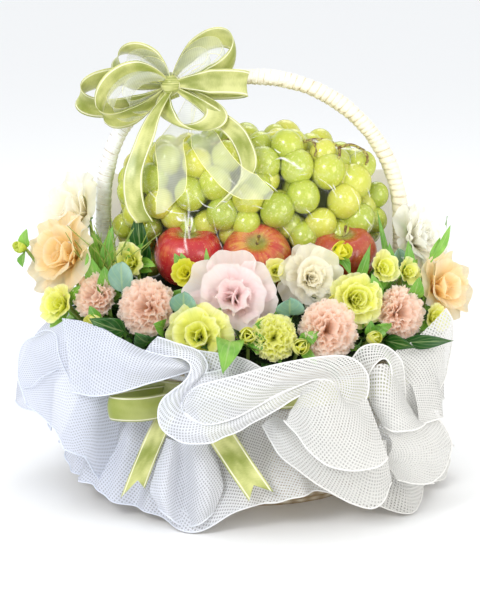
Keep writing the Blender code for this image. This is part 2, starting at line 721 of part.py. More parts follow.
# Bow loops: name, far end, opening across the loop and the way the band's width runs, in mm from the knot
LOOPS = (
    ("upper_right", (60, -17, 43), (-9, 0, 12), (0.55, -0.75, 0.35)),
    ("right", (74, -30, 4), (3, -7, 4), (0.05, -0.35, 0.94)),
    ("lower_right", (32, -24, -38), (20, -3, 6), (0.15, -0.95, 0.30)),
    ("lower_left", (-66, -32, -12), (6, -12, 23), (0.35, -0.85, -0.40)),
    ("far_left", (-87, -18, -10), (-3, -4, 13), (0.25, -0.60, 0.76)),
    ("upper_left", (-50, -10, 29), (8, -5, 12), (0.30, -0.80, 0.52)),
)
LOOP_STEPS = 12


def make_loop(name, knot, far, opening, side, look, group):
    """A ribbon loop that leaves the knot, turns at its far end and comes back."""
    far, opening, side = Vector(far) * MM, Vector(opening) * MM, Vector(side)
    path, sides, taper = [], [], []
    for i in range(LOOP_STEPS):
        turn = 2 * math.pi * i / (LOOP_STEPS - 1)
        reach = (1 - math.cos(turn)) / 2
        open_up = math.sin(turn) * reach**0.35 * 1.25 + 0.12 * math.cos(turn / 2)
        path.append(knot + far * (0.04 + 0.96 * reach) + opening * open_up)
        sides.append(side)
        taper.append(0.30 + 0.70 * min(1.0, reach * 2.2))
    return ribbon("loop_" + name, path, sides, SATIN_WIDTH, look, group, taper)


def make_tail(name, points, side_from, side_to, width, end_width, look, group, steps=9):
    """A free end of ribbon that hangs from the knot and turns as it goes."""
    path = smooth_path([Vector(p) * MM for p in points], steps)
    first, last = Vector(side_from), Vector(side_to)
    sides = [first.lerp(last, i / (steps - 1)) for i in range(steps)]
    taper = [min(1.0, 0.35 + 1.8 * i / (steps - 1)) for i in range(steps)]
    taper[-1] = end_width
    return ribbon(name, path, sides, width, look, group, taper)


def make_ring(name, share, look, group):
    """A band of ribbon round the handle."""
    here = handle_point(share)
    along = (handle_point(share + 0.01) - handle_point(share - 0.01)).normalized()
    inner, outer, half = HANDLE_RADIUS * 1.12 + GAP, HANDLE_RADIUS * 1.12 + 3.2 * MM, 4.2 * MM
    count = 10
    bm = bmesh.new()
    rows = []
    for shift, radius in ((-half, inner), (-half, outer), (half, outer), (half, inner)):
        ring = ring_round(here + along * shift, along, radius, 0, count, 0)
        rows.append([bm.verts.new(point) for point in ring])
    for k in range(4):
        low, high = rows[k], rows[(k + 1) % 4]
        for i in range(count):
            j = (i + 1) % count
            bm.faces.new((low[i], low[j], high[j], high[i]))
    return add_object(name, mesh_from(name, bm), look, group)


SATIN_TAILS = (
    ("tail_left",
     ((-79, -22, 398), (-94, -34, 376), (-103, -46, 354), (-114, -58, 322), (-112, -64, 293), (-103, -66, 277)),
     (0.9, -0.4, 0.2), (0.92, -0.1, 0.1)),
    ("tail_right",
     ((-72, -22, 398), (-50, -30, 386), (-33, -38, 374), (-12, -58, 357), (-4, -68, 326), (-29, -71, 296)),
     (0.5, -0.5, 0.5), (0.8, -0.1, 0.5)),
)
SHEER_TAILS = (
    ("sheer_left",
     ((-57, -3, 393), (-65, -8, 371), (-76, -26, 353), (-80, -41, 347), (-77, -60, 331), (-77, -68, 309), (-88, -72, 287)),
     (0.9, -0.2, 0.1), (0.95, 0.1, 0.2)),
    ("sheer_right",
     ((-53, -3, 394), (-51, -9, 371), (-48, -25, 354), (-43, -52, 349), (-33, -68, 337), (-14, -82, 320), (18, -86, 307)),
     (0.9, 0.0, 0.1), (0.45, 0.0, 0.9)),
)
SATIN_SHARE = 0.412  # where along the handle the satin bow is tied
SHEER_SHARE = 0.45


def make_bow(look, group):
    """Six satin loops and two tails, caught in one knot that is tied round the handle."""
    knot = handle_point(SATIN_SHARE) + Vector((0, -KNOT_OUT, 6 * MM))
    bm = bmesh.new()
    bmesh.ops.create_uvsphere(bm, u_segments=9, v_segments=5, radius=KNOT_RADIUS)
    bmesh.ops.scale(bm, vec=(1.0, 1.0, 1.1), verts=bm.verts)
    bmesh.ops.translate(bm, vec=knot, verts=bm.verts)
    bow = add_object("satin_bow", mesh_from("satin_bow", bm), look, group)
    parts = [make_loop(name, knot, *rest, look, group) for name, *rest in LOOPS]
    parts += [make_tail(*tail, 0.66 * SATIN_WIDTH, 0.9, look, group) for tail in SATIN_TAILS]
    parts.append(make_ring("satin_ring", SATIN_SHARE, look, group))
    return join_solids(bow, parts)


def make_sheer(look, group):
    """A sheer ribbon tied beside the bow, with two tails that hang over the fruit."""
    ring = make_ring("sheer_ribbon", SHEER_SHARE, look, group)
    parts = [make_tail(*tail, SHEER_WIDTH, 0.3, look, group) for tail in SHEER_TAILS]
    return join_solids(ring, parts)


WAIST_TAILS = (
    ("waist_tail_left", ((-70, -130, 121), (-84, -146, 104), (-100, -152, 69), (-113, -158, 36))),
    ("waist_tail_right", ((-42, -138, 120), (-34, -158, 101), (-13, -172, 70), (8, -182, 41))),
)
WAIST_LOOP = ((-55, -133.2, 121), (-98, -162, 120), (-126, -163, 120), (-134, -153, 120), (-112, -136, 120),
              (-84, -121.6, 120))


def make_waist(look, group):
    """The ribbon that gathers the net, with a loop and two tails at the front."""
    count = 36
    out = 4.6 * MM
    rows = [
        [oval(NET_HALF_WIDTH + out, NET_HALF_DEPTH + out, 2 * math.pi * i / count, height) for i in range(count)]
        for height in (113.5 * MM, 136.5 * MM)
    ]
    band = open_sheet("waist_ribbon", rows, look, group, True, RIBBON_THICKNESS)
    parts = []
    for name, points in WAIST_TAILS:
        path = smooth_path([Vector(point) * MM for point in points], 7)
        parts.append(ribbon(name, path, [Vector((1, 0, 0.4))] * 7, SATIN_WIDTH * 0.8, look, group))
    path = smooth_path([Vector(point) * MM for point in WAIST_LOOP], 11)
    parts.append(ribbon("waist_loop", path, [Vector((0, 0, 1))] * 11, SATIN_WIDTH * 0.9, look, group))
    return join_solids(band, parts)


def main():
    clear_scene()
    group = collection("fruit_gift_basket")
    cutters = collection("cutters")

    ivory = material("ivory_wrap", (0.86, 0.80, 0.66), 0.6)
    moss = material("moss", (0.04, 0.09, 0.03), 0.9)
    skin = {
        "apple_left": material("apple_red", (0.62, 0.06, 0.04), 0.3),
        "apple_middle": material("apple_striped", (0.66, 0.16, 0.06), 0.3),
        "apple_right": material("apple_orange", (0.62, 0.17, 0.08), 0.3),
    }
    grape = material("grape_green", (0.55, 0.64, 0.12), 0.25)
    net = material("net_white", (0.88, 0.89, 0.90), 0.8)
    cloth = material("liner_cloth", (0.83, 0.78, 0.70), 0.9)
    satin = material("satin_green", (0.45, 0.52, 0.16), 0.35)
    sheer = material("sheer_white", (0.88, 0.90, 0.84), 0.5)
    petals = {
        "pink": material("petal_pink", (0.90, 0.62, 0.62), 0.7),
        "peach": material("petal_peach", (0.92, 0.60, 0.44), 0.7),
        "apricot": material("petal_apricot", (0.95, 0.70, 0.38), 0.7),
        "cream": material("petal_cream", (0.93, 0.89, 0.74), 0.7),
        "white": material("petal_white", (0.93, 0.91, 0.82), 0.7),
        "lime": material("petal_lime", (0.68, 0.78, 0.18), 0.7),
        "yellow": material("petal_yellow", (0.86, 0.84, 0.08), 0.7),
        "green": material("bud_green", (0.52, 0.62, 0.10), 0.7),
    }
    leaf = {
        "dark": material("leaf_dark", (0.06, 0.20, 0.04), 0.5),
        "grey": material("leaf_grey", (0.30, 0.45, 0.36), 0.6),
        "green": material("leaf_green", (0.22, 0.42, 0.08), 0.5),
    }

    make_basket(ivory, group)
    make_bed(moss, group, cutters)
    make_handle(ivory, group)
    for name, centre, radius, lean in APPLES:
        make_apple(name, centre, radius, lean, skin[name], group)
    make_grapes(grape, group, cutters)
    for name, kind, centre, radius in BLOSSOMS:
        colour = name.split("_")[1]
        make_blossom(name, kind, centre, radius, petals[colour], group)
    for name, foot, tip, width, curl in LEAVES:
        tone = name.split("_")[1]
        make_leaf(name, foot, tip, width, curl, leaf.get(tone, leaf["green"]), group)
    make_liner(cloth, group)
    make_net(net, group)
    make_bow(satin, group)
    make_sheer(sheer, group)
    make_waist(satin, group)


main()
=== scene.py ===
# %% [markdown]
# # Fruit and flower gift basket
#
# A gift basket: an oval tub under a white net wrap, a handle wrapped in ivory paper, a satin bow, green
# grapes, three apples and a ring of blossoms. The solids give the place and size of every piece. This
# script gives each one its real surface: petals one by one, cloth that folds, fruit that glows a little
# where light enters it.
#
# Units are metres. +Z is up and the front is -Y. Most sizes are written in millimetres and multiplied by
# MM.

# %% Load the frame
import math
import random

import bpy
import numpy as np
from mathutils import Matrix, Vector, noise


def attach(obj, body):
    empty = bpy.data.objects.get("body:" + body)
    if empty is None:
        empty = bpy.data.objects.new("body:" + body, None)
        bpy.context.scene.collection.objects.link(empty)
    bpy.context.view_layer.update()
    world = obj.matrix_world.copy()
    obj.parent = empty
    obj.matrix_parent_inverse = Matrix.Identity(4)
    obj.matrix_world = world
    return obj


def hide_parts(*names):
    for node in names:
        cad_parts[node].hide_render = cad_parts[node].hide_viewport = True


MM = 0.001
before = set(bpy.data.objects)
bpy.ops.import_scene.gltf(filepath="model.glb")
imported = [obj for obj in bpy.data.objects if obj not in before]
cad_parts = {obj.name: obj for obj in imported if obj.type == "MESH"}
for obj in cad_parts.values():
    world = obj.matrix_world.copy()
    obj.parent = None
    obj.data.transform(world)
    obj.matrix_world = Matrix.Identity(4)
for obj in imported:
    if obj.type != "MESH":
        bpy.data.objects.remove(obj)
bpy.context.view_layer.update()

# %% [markdown]
# ## Shader maths
#
# Materials are easier to read when their maths is written as sums. The class below wraps the output of a
# node and overloads the operators, so that `1 - mask * 0.5` adds the two Math nodes that it needs.
# Colours go through Mix nodes, because a Math node would turn them grey.


# %% A wrapped socket
class Signal:
    """A node's output, for use in Python sums."""

    def __init__(self, finish, socket):
        self.finish = finish
        self.socket = socket

    def maths(self, operation, *terms):
        return self.finish.node("ShaderNodeMath", {"operation": operation}, dict(enumerate(terms)))

    def __add__(self, other):
        return self.maths("ADD", self, other)

    def __sub__(self, other):
        return self.maths("SUBTRACT", self, other)

    def __rsub__(self, other):
        return self.maths("SUBTRACT", other, self)

    def __mul__(self, other):
        return self.maths("MULTIPLY", self, other)

    def __truediv__(self, other):
        return self.maths("DIVIDE", self, other)

    def __pow__(self, other):
        return self.maths("POWER", self, other)

    __radd__ = __add__
    __rmul__ = __mul__

    def fraction(self):
        return self.maths("FRACT", self)

    def absolute(self):
        return self.maths("ABSOLUTE", self)

    def sine(self):
        return self.maths("SINE", self)

    def highest(self, other):
        return self.maths("MAXIMUM", self, other)

    def step(self, low, high):
        """0 below low, 1 above high, and a soft slope between."""
        inputs = {"Value": self, "From Min": low, "From Max": high}
        return self.finish.node("ShaderNodeMapRange", {"interpolation_type": "SMOOTHSTEP"}, inputs)


print("operators:", [name for name in vars(Signal) if name.startswith("__r")])


# %% A finish: one material that grows node by node
def linear(code):
    """A linear colour from a hex code as it is seen on a screen."""
    parts = [int(code[i : i + 2], 16) / 255 for i in (0, 2, 4)]
    return tuple(p / 12.92 if p <= 0.04045 else ((p + 0.055) / 1.055) ** 2.4 for p in parts)


class Finish:
    """A material with a Principled shader."""

    def __init__(self, name, colour, roughness, **constants):
        self.material = bpy.data.materials.new(name)
        self.material.use_nodes = True
        self.nodes = self.material.node_tree.nodes
        self.links = self.material.node_tree.links
        self.shader = self.nodes["Principled BSDF"]
        self.set("Base Color", (*linear(colour), 1.0))
        self.set("Roughness", roughness)
        for socket, value in constants.items():
            self.set(socket.replace("_", " "), value)

    def set(self, socket, value):
        """Gives one of the shader's sockets a number, a colour or a signal."""
        place = self.shader.inputs[socket]
        if isinstance(value, Signal):
            self.links.new(value.socket, place)
        else:
            place.default_value = value

    def node(self, kind, settings=None, inputs=None, output=0):
        """Adds any node: its settings first, then the values or links of its sockets."""
        made = self.nodes.new(kind)
        for key, value in (settings or {}).items():
            if key == "stops":
                ramp = made.color_ramp
                while len(ramp.elements) < len(value):
                    ramp.elements.new(0.5)
                for element, (place, code) in zip(ramp.elements, value):
                    element.position = place
                    element.color = (*linear(code), 1.0)
            else:
                setattr(made, key, value)
        for key, value in (inputs or {}).items():
            if isinstance(value, Signal):
                self.links.new(value.socket, made.inputs[key])
            else:
                made.inputs[key].default_value = value
        return Signal(self, made.outputs[output])

    def place(self, kind="Object"):
        """Where a point of the surface is: Object is its place in metres, UV its place on the map."""
        return self.node("ShaderNodeTexCoord", output=kind)

    def part(self, vector, axis):
        return self.node("ShaderNodeSeparateXYZ", None, {0: vector}, axis)

    def noise(self, scale, detail=2.0, vector=None, roughness=0.5):
        vector = vector or self.place()
        inputs = {"Vector": vector, "Scale": scale, "Detail": detail, "Roughness": roughness}
        return self.node("ShaderNodeTexNoise", None, inputs)

    def stretched(self, vector, scale):
        return self.node("ShaderNodeMapping", None, {"Vector": vector, "Scale": scale})

    def tint(self):
        """The number between 0 and 1 that each fruit, petal or leaf was given; on the satin it darkens the
        strip as painted shade.
        """
        return self.node("ShaderNodeAttribute", {"attribute_name": "tint"}, output="Fac")

    def mix(self, share, first, second):
        """A colour between two, given as hex codes or signals."""
        inputs = {0: share}
        for slot, colour in ((6, first), (7, second)):
            inputs[slot] = colour if isinstance(colour, Signal) else (*linear(colour), 1.0)
        return self.node("ShaderNodeMix", {"data_type": "RGBA"}, inputs, 2)

    def ramp(self, share, stops):
        return self.node("ShaderNodeValToRGB", {"stops": stops}, {0: share})

    def bump(self, height, strength, distance):
        inputs = {"Height": height, "Strength": strength, "Distance": distance}
        self.set("Normal", self.node("ShaderNodeBump", None, inputs))

    def glow_through(self, code, share):
        """Light passes the thin piece: the shader is mixed with a translucent one of this colour."""
        thin = self.node("ShaderNodeBsdfTranslucent", None, {"Color": (*linear(code), 1.0)})
        whole = Signal(self, self.shader.outputs[0])
        mixed = self.node("ShaderNodeMixShader", None, {0: share, 1: whole, 2: thin})
        self.links.new(mixed.socket, self.nodes["Material Output"].inputs["Surface"])


print("shader tools ready")

# %% [markdown]
# ## Shapes
#
# Petals, ribbons and cloth are all sheets, so most pieces here are grids of points. One class collects
# the grids of a piece with their map coordinates, and makes a single mesh of them. Building with arrays
# keeps the script quick.


# %% A piece that grows grid by grid
class Shape:
    """Points, faces and maps of one piece."""

    def __init__(self):
        self.points, self.faces, self.maps, self.tones_and_shades = [], [], [], []
        self.total = 0

    def grid(self, points, across=None, along=None, tint=0.0, ring=False):
        """Adds a grid of rows by columns. A ring's last column joins its first."""
        rows, columns = points.shape[:2]
        wide = columns + 1 if ring else columns
        across = np.linspace(0, 1, wide)[None, :] if across is None else across
        along = np.linspace(0, 1, rows)[:, None] if along is None else along
        spots = np.stack(np.broadcast_arrays(across + np.zeros((rows, wide)), along), axis=-1)
        index = np.arange(rows * columns).reshape(rows, columns) + self.total
        if ring:
            index = np.concatenate([index, index[:, :1]], axis=1)
        low, high = slice(None, -1), slice(1, None)
        corners = ((low, low), (low, high), (high, high), (high, low))
        self.faces.append(np.stack([index[c] for c in corners], axis=-1).reshape(-1, 4))
        self.maps.append(np.stack([spots[c] for c in corners], axis=2).reshape(-1, 2))
        self.points.append(points.reshape(-1, 3))
        self.tones_and_shades.append(np.full(rows * columns, tint))
        self.total += rows * columns

    def make(self, name, finish, slot=None, replaces=(), solid=0.0):
        """Turns everything that was added into one object of the part."""
        mesh = bpy.data.meshes.new(name)
        mesh.from_pydata(np.concatenate(self.points), [], np.concatenate(self.faces).tolist())
        mesh.uv_layers.new(name="map").data.foreach_set("uv", np.concatenate(self.maps).ravel())
        tint = mesh.attributes.new("tint", "FLOAT", "POINT")
        tint.data.foreach_set("value", np.concatenate(self.tones_and_shades))
        mesh.materials.append(finish.material)
        mesh.shade_smooth()
        obj = bpy.data.objects.new(name, mesh)
        bpy.context.scene.collection.objects.link(obj)
        if solid:
            thick = obj.modifiers.new("thick", "SOLIDIFY")
            thick.thickness = solid
            thick.offset = 0.0
        if replaces:
            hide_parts(*replaces)
        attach(obj, "root")
        return obj


print("a new shape has", Shape().total, "points")


# %% Smooth lines, and lengths along a sheet
def smooth_line(points, count):
    """Evenly spaced points on a smooth curve through the given ones."""
    points = np.asarray(points, float)
    ends = np.concatenate([[2 * points[0] - points[1]], points, [2 * points[-1] - points[-2]]])
    place = np.linspace(0, len(points) - 1, 12 * len(points))
    k = np.minimum(place.astype(int), len(points) - 2)
    t = (place - k)[:, None]
    a, b, c, d = (ends[k + i] for i in range(4))
    curve = 2 * b + (c - a) * t + (2 * a - 5 * b + 4 * c - d) * t**2 + (3 * b - 3 * c + d - a) * t**3
    curve = 0.5 * curve
    gone = np.concatenate([[0], np.cumsum(np.linalg.norm(np.diff(curve[:, :3], axis=0), axis=1))])
    wanted = np.linspace(0, gone[-1], count)
    return np.stack([np.interp(wanted, gone, curve[:, i]) for i in range(curve.shape[1])], axis=1)


def distances(points, axis):
    """Metres gone along an axis of a grid, from its middle. The average keeps the map from shearing."""
    steps = np.linalg.norm(np.diff(points, axis=axis), axis=2)
    steps = np.broadcast_to(steps.mean(axis=1 - axis, keepdims=True), steps.shape)
    gone = np.insert(np.cumsum(steps, axis=axis), 0, 0.0, axis=axis)
    middle = gone.shape[axis] // 2
    return gone - np.take(gone, [middle], axis=axis)


line = smooth_line([(0, 0, 0), (1, 1, 0), (2, 0, 0)], 5)
print("a smooth line through three points:", line.round(2).tolist())


# %% Tubes
def unit(vectors):
    return vectors / np.maximum(np.linalg.norm(vectors, axis=-1, keepdims=True), 1e-9)


def tube_points(path, radii, sides, wave=None):
    """Rings of points round a path."""
    path = np.asarray(path, float)
    along = unit(np.gradient(path, axis=0))
    side = unit(np.cross(along, (0.03, 1.0, 0.05)))
    up = np.cross(along, side)
    turn = np.linspace(0, 2 * np.pi, sides, endpoint=False)[None, :]
    radii = np.broadcast_to(np.asarray(radii, float), (len(path),))[:, None]
    if wave is not None:
        radii = radii * wave(np.linspace(0, 1, len(path))[:, None], turn)
    ring = np.cos(turn)[..., None] * side[:, None] + np.sin(turn)[..., None] * up[:, None]
    return path[:, None] + ring * radii[..., None]


def close_ends(points):
    """A tube with both ends drawn in to a point."""
    first = np.broadcast_to(points[0].mean(axis=0), points[0].shape)
    last = np.broadcast_to(points[-1].mean(axis=0), points[-1].shape)
    return np.concatenate([first[None], points, last[None]])


def add_rod(shape, path, radii, sides, wave=None):
    """Adds a round bar with closed ends along a path."""
    shape.grid(close_ends(tube_points(path, radii, sides, wave)), ring=True)


print("a tube with closed ends:", close_ends(tube_points([(0, 0, 0), (0, 0, 1)], 0.1, 8)).shape)


# %% Uneven surfaces, and other small tools
def ripple(points, size, scale, seed=0.0):
    """A smooth random number for each point."""
    shift = Vector((seed, seed * 1.7, -seed))
    flat = points.reshape(-1, 3)
    values = [noise.noise(Vector(p) * scale + shift) for p in flat]
    return size * np.array(values).reshape(points.shape[:-1])


def surface_normals(points):
    """The way each point of a grid faces."""
    return unit(np.cross(np.gradient(points, axis=1), np.gradient(points, axis=0)))


def metres(millimetres):
    return np.array(millimetres) * MM


def jitter(rng, size):
    """A random shift of up to this size each way."""
    return np.array([rng.uniform(-size, size) for axis in range(3)])


FULL_TURN = 6.28
print("shape tools ready")

# %% [markdown]
# ## Camera
#
# The camera stands in front, a little above the rim, as in the photograph: 14 degrees up and 2 m away,
# with a long lens that flattens the basket. `seen` turns a place in the 480 x 600 picture, with a depth,
# into a point in space, so a fold that shows at a certain place can be put there.

# %% The camera, and points by where they show
TARGET = Vector((-0.012, 0.0, 0.184))
DISTANCE = 2.0
RISE = math.radians(14)
LENS = 120
SENSOR = 36
LONG_SIDE = 600
FOCAL = LENS / SENSOR * LONG_SIDE
CENTRE_U, CENTRE_V = 240, 300

camera_data = bpy.data.cameras.new("camera")
camera_data.lens = LENS
camera_data.sensor_width = SENSOR
camera = bpy.data.objects.new("camera", camera_data)
camera.location = TARGET + DISTANCE * Vector((0, -math.cos(RISE), math.sin(RISE)))
camera.rotation_euler = (math.pi / 2 - RISE, 0, 0)
bpy.context.scene.collection.objects.link(camera)
bpy.context.scene.camera = camera


def seen(u, v, depth):
    """The point that shows at (u, v) in the picture and lies at Y = depth, in mm."""
    y = depth * MM
    share = (CENTRE_V - v) / FOCAL
    cos, sin = math.cos(RISE), math.sin(RISE)
    up = (share * (DISTANCE + cos * y) - sin * y) / (cos + sin * share)
    away = DISTANCE + cos * y - sin * up
    return (TARGET.x + (u - CENTRE_U) / FOCAL * away, y, TARGET.z + up)


def seen_line(places):
    return np.array([seen(*place) for place in places])


print("focal length in pixels:", FOCAL)

# %% [markdown]
# ## Basket, bed and handle
#
# The tub is a plain oval weave that only shows through the net, so its solid stays and gets a woven
# finish. The bed of moss is dark, and shows between the stems. The handle is wrapped in paper tape, whose
# turns overlap along a helix. A tube with a saw-tooth radius gives those turns real edges.

# %% The basket's weave
RING_COURSE = 5.5 * MM
STAKE_PITCH = 11 * MM
BASKET_RADIUS = 0.14

weave = Finish("ivory_weave", "efe3c8", 0.6)
spot = weave.place()
height = weave.part(spot, "Z") / RING_COURSE
side = weave.part(spot, "Y")
angle = side.maths("ARCTAN2", side, weave.part(spot, "X"))
stake = angle * (BASKET_RADIUS / STAKE_PITCH)
# Painted shade: the colour darkens towards the edges of each course and on alternate stretches where the
# strand runs behind the stakes.
course = (height.fraction() - 0.5).absolute() * 2
over = (stake * math.pi + height.maths("FLOOR", height) * math.pi).sine()
strand_relief_and_shade = (1 - course * course) * (0.65 + over * 0.35)
weave.set("Base Color", weave.mix(strand_relief_and_shade, "a9895a", "f3e9d2"))
weave.bump(strand_relief_and_shade, 0.8, 1.5 * MM)
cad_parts["basket"].data.materials[0] = weave.material

moss = Finish("moss", "1a2a12", 0.95)
moss_grain = moss.noise(220, 4)
moss.set("Base Color", moss.mix(moss_grain.step(0.35, 0.7), "0d140a", "2f4a1c"))
moss.bump(moss_grain, 1.0, 4 * MM)
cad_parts["planting_bed"].data.materials[0] = moss.material
print("basket and bed finished")

# %% The wrapped handle
HANDLE_HALF_SPAN = 147 * MM
HANDLE_SPRING = 262 * MM
HANDLE_TOP = 408 * MM
HANDLE_FOOT = 115 * MM
LEG_BEND = 215 * MM
LEG_LEAN = 0.2
HANDLE_RADIUS = 7.6 * MM
TAPE_TURNS = 132
LEG = HANDLE_SPRING - HANDLE_FOOT
ARCH = math.pi * HANDLE_HALF_SPAN


def handle_point(share):
    """Centre of the handle: 0 is the left foot and 1 the right foot."""
    along = share * (ARCH + 2 * LEG)
    if LEG < along < LEG + ARCH:
        turn = math.pi * (along - LEG) / ARCH
        power = 0.75 if turn < math.pi / 2 else 0.98
        x = -math.copysign(abs(math.cos(turn)) ** power, math.cos(turn)) * HANDLE_HALF_SPAN
        return np.array((x, 0, HANDLE_SPRING + (HANDLE_TOP - HANDLE_SPRING) * math.sin(turn) ** power))
    side = -1 if along <= LEG else 1
    height = HANDLE_FOOT + (along if side < 0 else 2 * LEG + ARCH - along)
    lean = LEG_LEAN * max(LEG_BEND - height, 0.0)
    return np.array((side * (HANDLE_HALF_SPAN - lean), 0, height))


def tape_wave(share, turn):
    """Overlapping turns of tape, each a little uneven."""
    phase = share * TAPE_TURNS + turn / (2 * np.pi)
    phase = phase + 0.5 * np.sin(share * 37) + 0.3 * np.sin(share * 91 + 1)
    rise = phase % 1.0
    lumps = 0.030 * np.sin(share * 71 + 1.3) + 0.020 * np.sin(share * 173 + turn * 2)
    return 0.90 + 0.16 * rise**0.6 + (lumps + 0.015 * np.sin(turn * 3 + phase))


path = smooth_line([handle_point(s) for s in np.linspace(0, 1, 120)], 820)
shape = Shape()
add_rod(shape, path, HANDLE_RADIUS, 28, tape_wave)
print("handle length, m:", round(ARCH + 2 * LEG, 3))

# %% Paper tape
paper = Finish("ivory_paper", "f4ebd6", 0.55, Sheen_Weight=0.2)
where = paper.place("UV")
fibre = paper.noise(1.0, 3, paper.stretched(where, (60, 900, 1)))
# Painted light: the left leg is tinted cool and the right side warm, in the colours of the light from each
# side.
handle_warm_light = paper.part(paper.place(), "X").step(-0.14, 0.10)
crease = paper.noise(90, 3)
base = paper.mix(handle_warm_light, "eef0f2", "f6ecd4")
base = paper.mix(fibre.step(0.45, 0.75) * 0.35, base, "c9b48c")
share = paper.part(where, "Y")
phase = share * TAPE_TURNS + paper.part(where, "X")
phase = phase + (share * 37).sine() * 0.5 + (share * 91 + 1).sine() * 0.3
# Painted shade: darker at the edge where one turn of tape overlaps the next.
groove_shade = phase.fraction().step(0.24, 0.0) * crease.step(0.35, 0.65)
base = paper.mix(groove_shade * 0.75, base, "a8925c")
under = paper.node("ShaderNodeNewGeometry", output="Normal")
shade = paper.part(under, "Z").step(0.05, -0.85) * paper.noise(260, 3).step(0.35, 0.62) * 0.7
base = paper.mix(shade, base, "a99a6a")
paper.set("Base Color", paper.mix(crease.step(0.55, 0.8) * 0.3, base, "b79f74"))
paper.bump(fibre + crease, 0.35, 1.0 * MM)
shape.make("wrapped_handle", paper, "paper_wrap_ivory", ["handle"])
print("handle wrapped with", TAPE_TURNS, "turns of tape")

# %% [markdown]
# ## Grapes
#
# Each grape is a slightly long ball. Their places come from the photo, row by row, and the same heap goes
# on behind. A second layer and a dark core lie inside, so that the gaps between grapes show grapes and
# shadow and no hole. Light enters the skin and comes out again, which subsurface scattering gives, and
# small pale dots speckle the skin.

# %% Places of the grapes
GRAPES = (
    (34, 344, 15.5), (11, 329, 16.0), (43, 325, 16.5), (73, 320, 17.0), (100, 309, 16.0), (107, 322, 14.0),
    (49, 298, 16.0), (89, 291, 16.5), (104, 272, 15.5), (24, 285, 16.5), (66, 270, 15.5), (50, 258, 14.5),
    (-4, 297, 15.5), (-29, 282, 15.5), (-6, 273, 13.5), (-36, 311, 16.0), (-25, 335, 15.0),
    (-53, 328, 15.0), (-60, 300, 15.5), (-96, 312, 15.0), (-90, 290, 14.5), (-118, 298, 14.0),
    (-113, 277, 13.5), (-114, 311, 14.0), (-82, 330, 14.5), (5, 309, 13.0), (69, 336, 13.5),
    (84, 258, 13.0),
)
HEAP_MIDDLE = np.array((-4, 8, 272)) * MM
HEAP_HALF = np.array((142, 60, 96)) * MM
DEEP_GRAPES = (
    (-76, 277, 14), (-44, 270, 13.5), (-100, 262, 13), (14, 262, 13), (36, 268, 13), (122, 292, 12.5),
    (120, 268, 13), (-20, 260, 13), (70, 248, 13), (-126, 262, 12), (-60, 262, 13), (100, 250, 12),
)
TOP_GRAPES, TOP_PITCH = 7, 30 * MM
TOP_RADIUS, FILL_RADIUS, END_RADIUS = 14.5 * MM, 14 * MM, 13.5 * MM
GRAPE_LENGTH = 1.08
# Grapes that close the heap at its top and its two ends, as shares of the heap's half sizes
TOP_FILL = (
    (-0.7, 0.35), (-0.48, 0.45), (-0.26, 0.40), (-0.03, 0.46), (0.2, 0.40), (0.42, 0.45), (0.64, 0.38),
    (-0.58, -0.30), (-0.36, -0.36), (-0.12, -0.30), (0.1, -0.36), (0.32, -0.32), (0.54, -0.34),
)
END_FILL = (
    (-0.45, 0.42), (0.0, 0.50), (0.45, 0.42), (-0.25, 0.12), (0.25, 0.14), (-0.50, -0.20), (0.0, -0.22),
    (0.50, -0.20), (-0.25, -0.50), (0.25, -0.50),
)


def ball(centre, radius, long=1.0, tilt=(0, 0), steps=(12, 20)):
    """A ball with an even map, drawn out along its own axis."""
    polar = np.linspace(0.001, np.pi - 0.001, steps[0])[:, None]
    turn = np.linspace(0, 2 * np.pi, steps[1], endpoint=False)[None, :]
    ring = np.sin(polar)
    high = long * np.cos(polar) + 0 * turn
    points = np.stack([ring * np.cos(turn), ring * np.sin(turn), high], axis=-1) * radius
    turned = Matrix.Rotation(tilt[0], 3, "Y") @ Matrix.Rotation(tilt[1], 3, "X")
    return points @ np.array(turned).T + centre


def heap_front(x, z, radius):
    across = (x - HEAP_MIDDLE[0]) / HEAP_HALF[0]
    up = (z - HEAP_MIDDLE[2]) / HEAP_HALF[2]
    return HEAP_HALF[1] * math.sqrt(max(1 - across**2 - up**2, 0.04)) - 0.2 * radius


print("depth of the heap's front half, mm:", round(heap_front(HEAP_MIDDLE[0], HEAP_MIDDLE[2], 0) / MM))

# %% The heap
chance = random.Random(7)
shape = Shape()


def add_grape(centre, radius, tilt):
    shape.grid(ball(centre, radius, GRAPE_LENGTH, tilt), tint=chance.random(), ring=True)


for x, z, radius in metres(GRAPES):
    reach = heap_front(x, z, radius)
    for side, layer in ((-1, 0), (-1, 1), (1, 0)):
        if (side > 0 or layer) and reach < 0.35 * HEAP_HALF[1]:
            continue
        shift = jitter(chance, 1) * MM * (9 if layer else 2 if side > 0 else 0)
        y = HEAP_MIDDLE[1] + side * (reach - layer * 1.25 * radius)
        tilt = (chance.uniform(-0.6, 0.6), chance.uniform(-0.5, 0.5))
        add_grape(np.array((x, y, z)) + shift, radius * 1.02, tilt)
for x, z, radius in metres(DEEP_GRAPES):
    centre = np.array((x, HEAP_MIDDLE[1] - heap_front(x, z, radius) + 9 * MM, z))
    add_grape(centre, radius, (chance.uniform(-0.6, 0.6), 0))
for i in range(TOP_GRAPES):
    x = (i - (TOP_GRAPES - 1) / 2) * TOP_PITCH
    z = HEAP_MIDDLE[2] + 0.74 * HEAP_HALF[2] * math.sqrt(1 - (x / HEAP_HALF[0]) ** 2)
    centre = np.array((HEAP_MIDDLE[0] + x, HEAP_MIDDLE[1] + chance.uniform(-4, 4) * MM, z))
    add_grape(centre, TOP_RADIUS, (chance.uniform(-0.6, 0.6), 0))
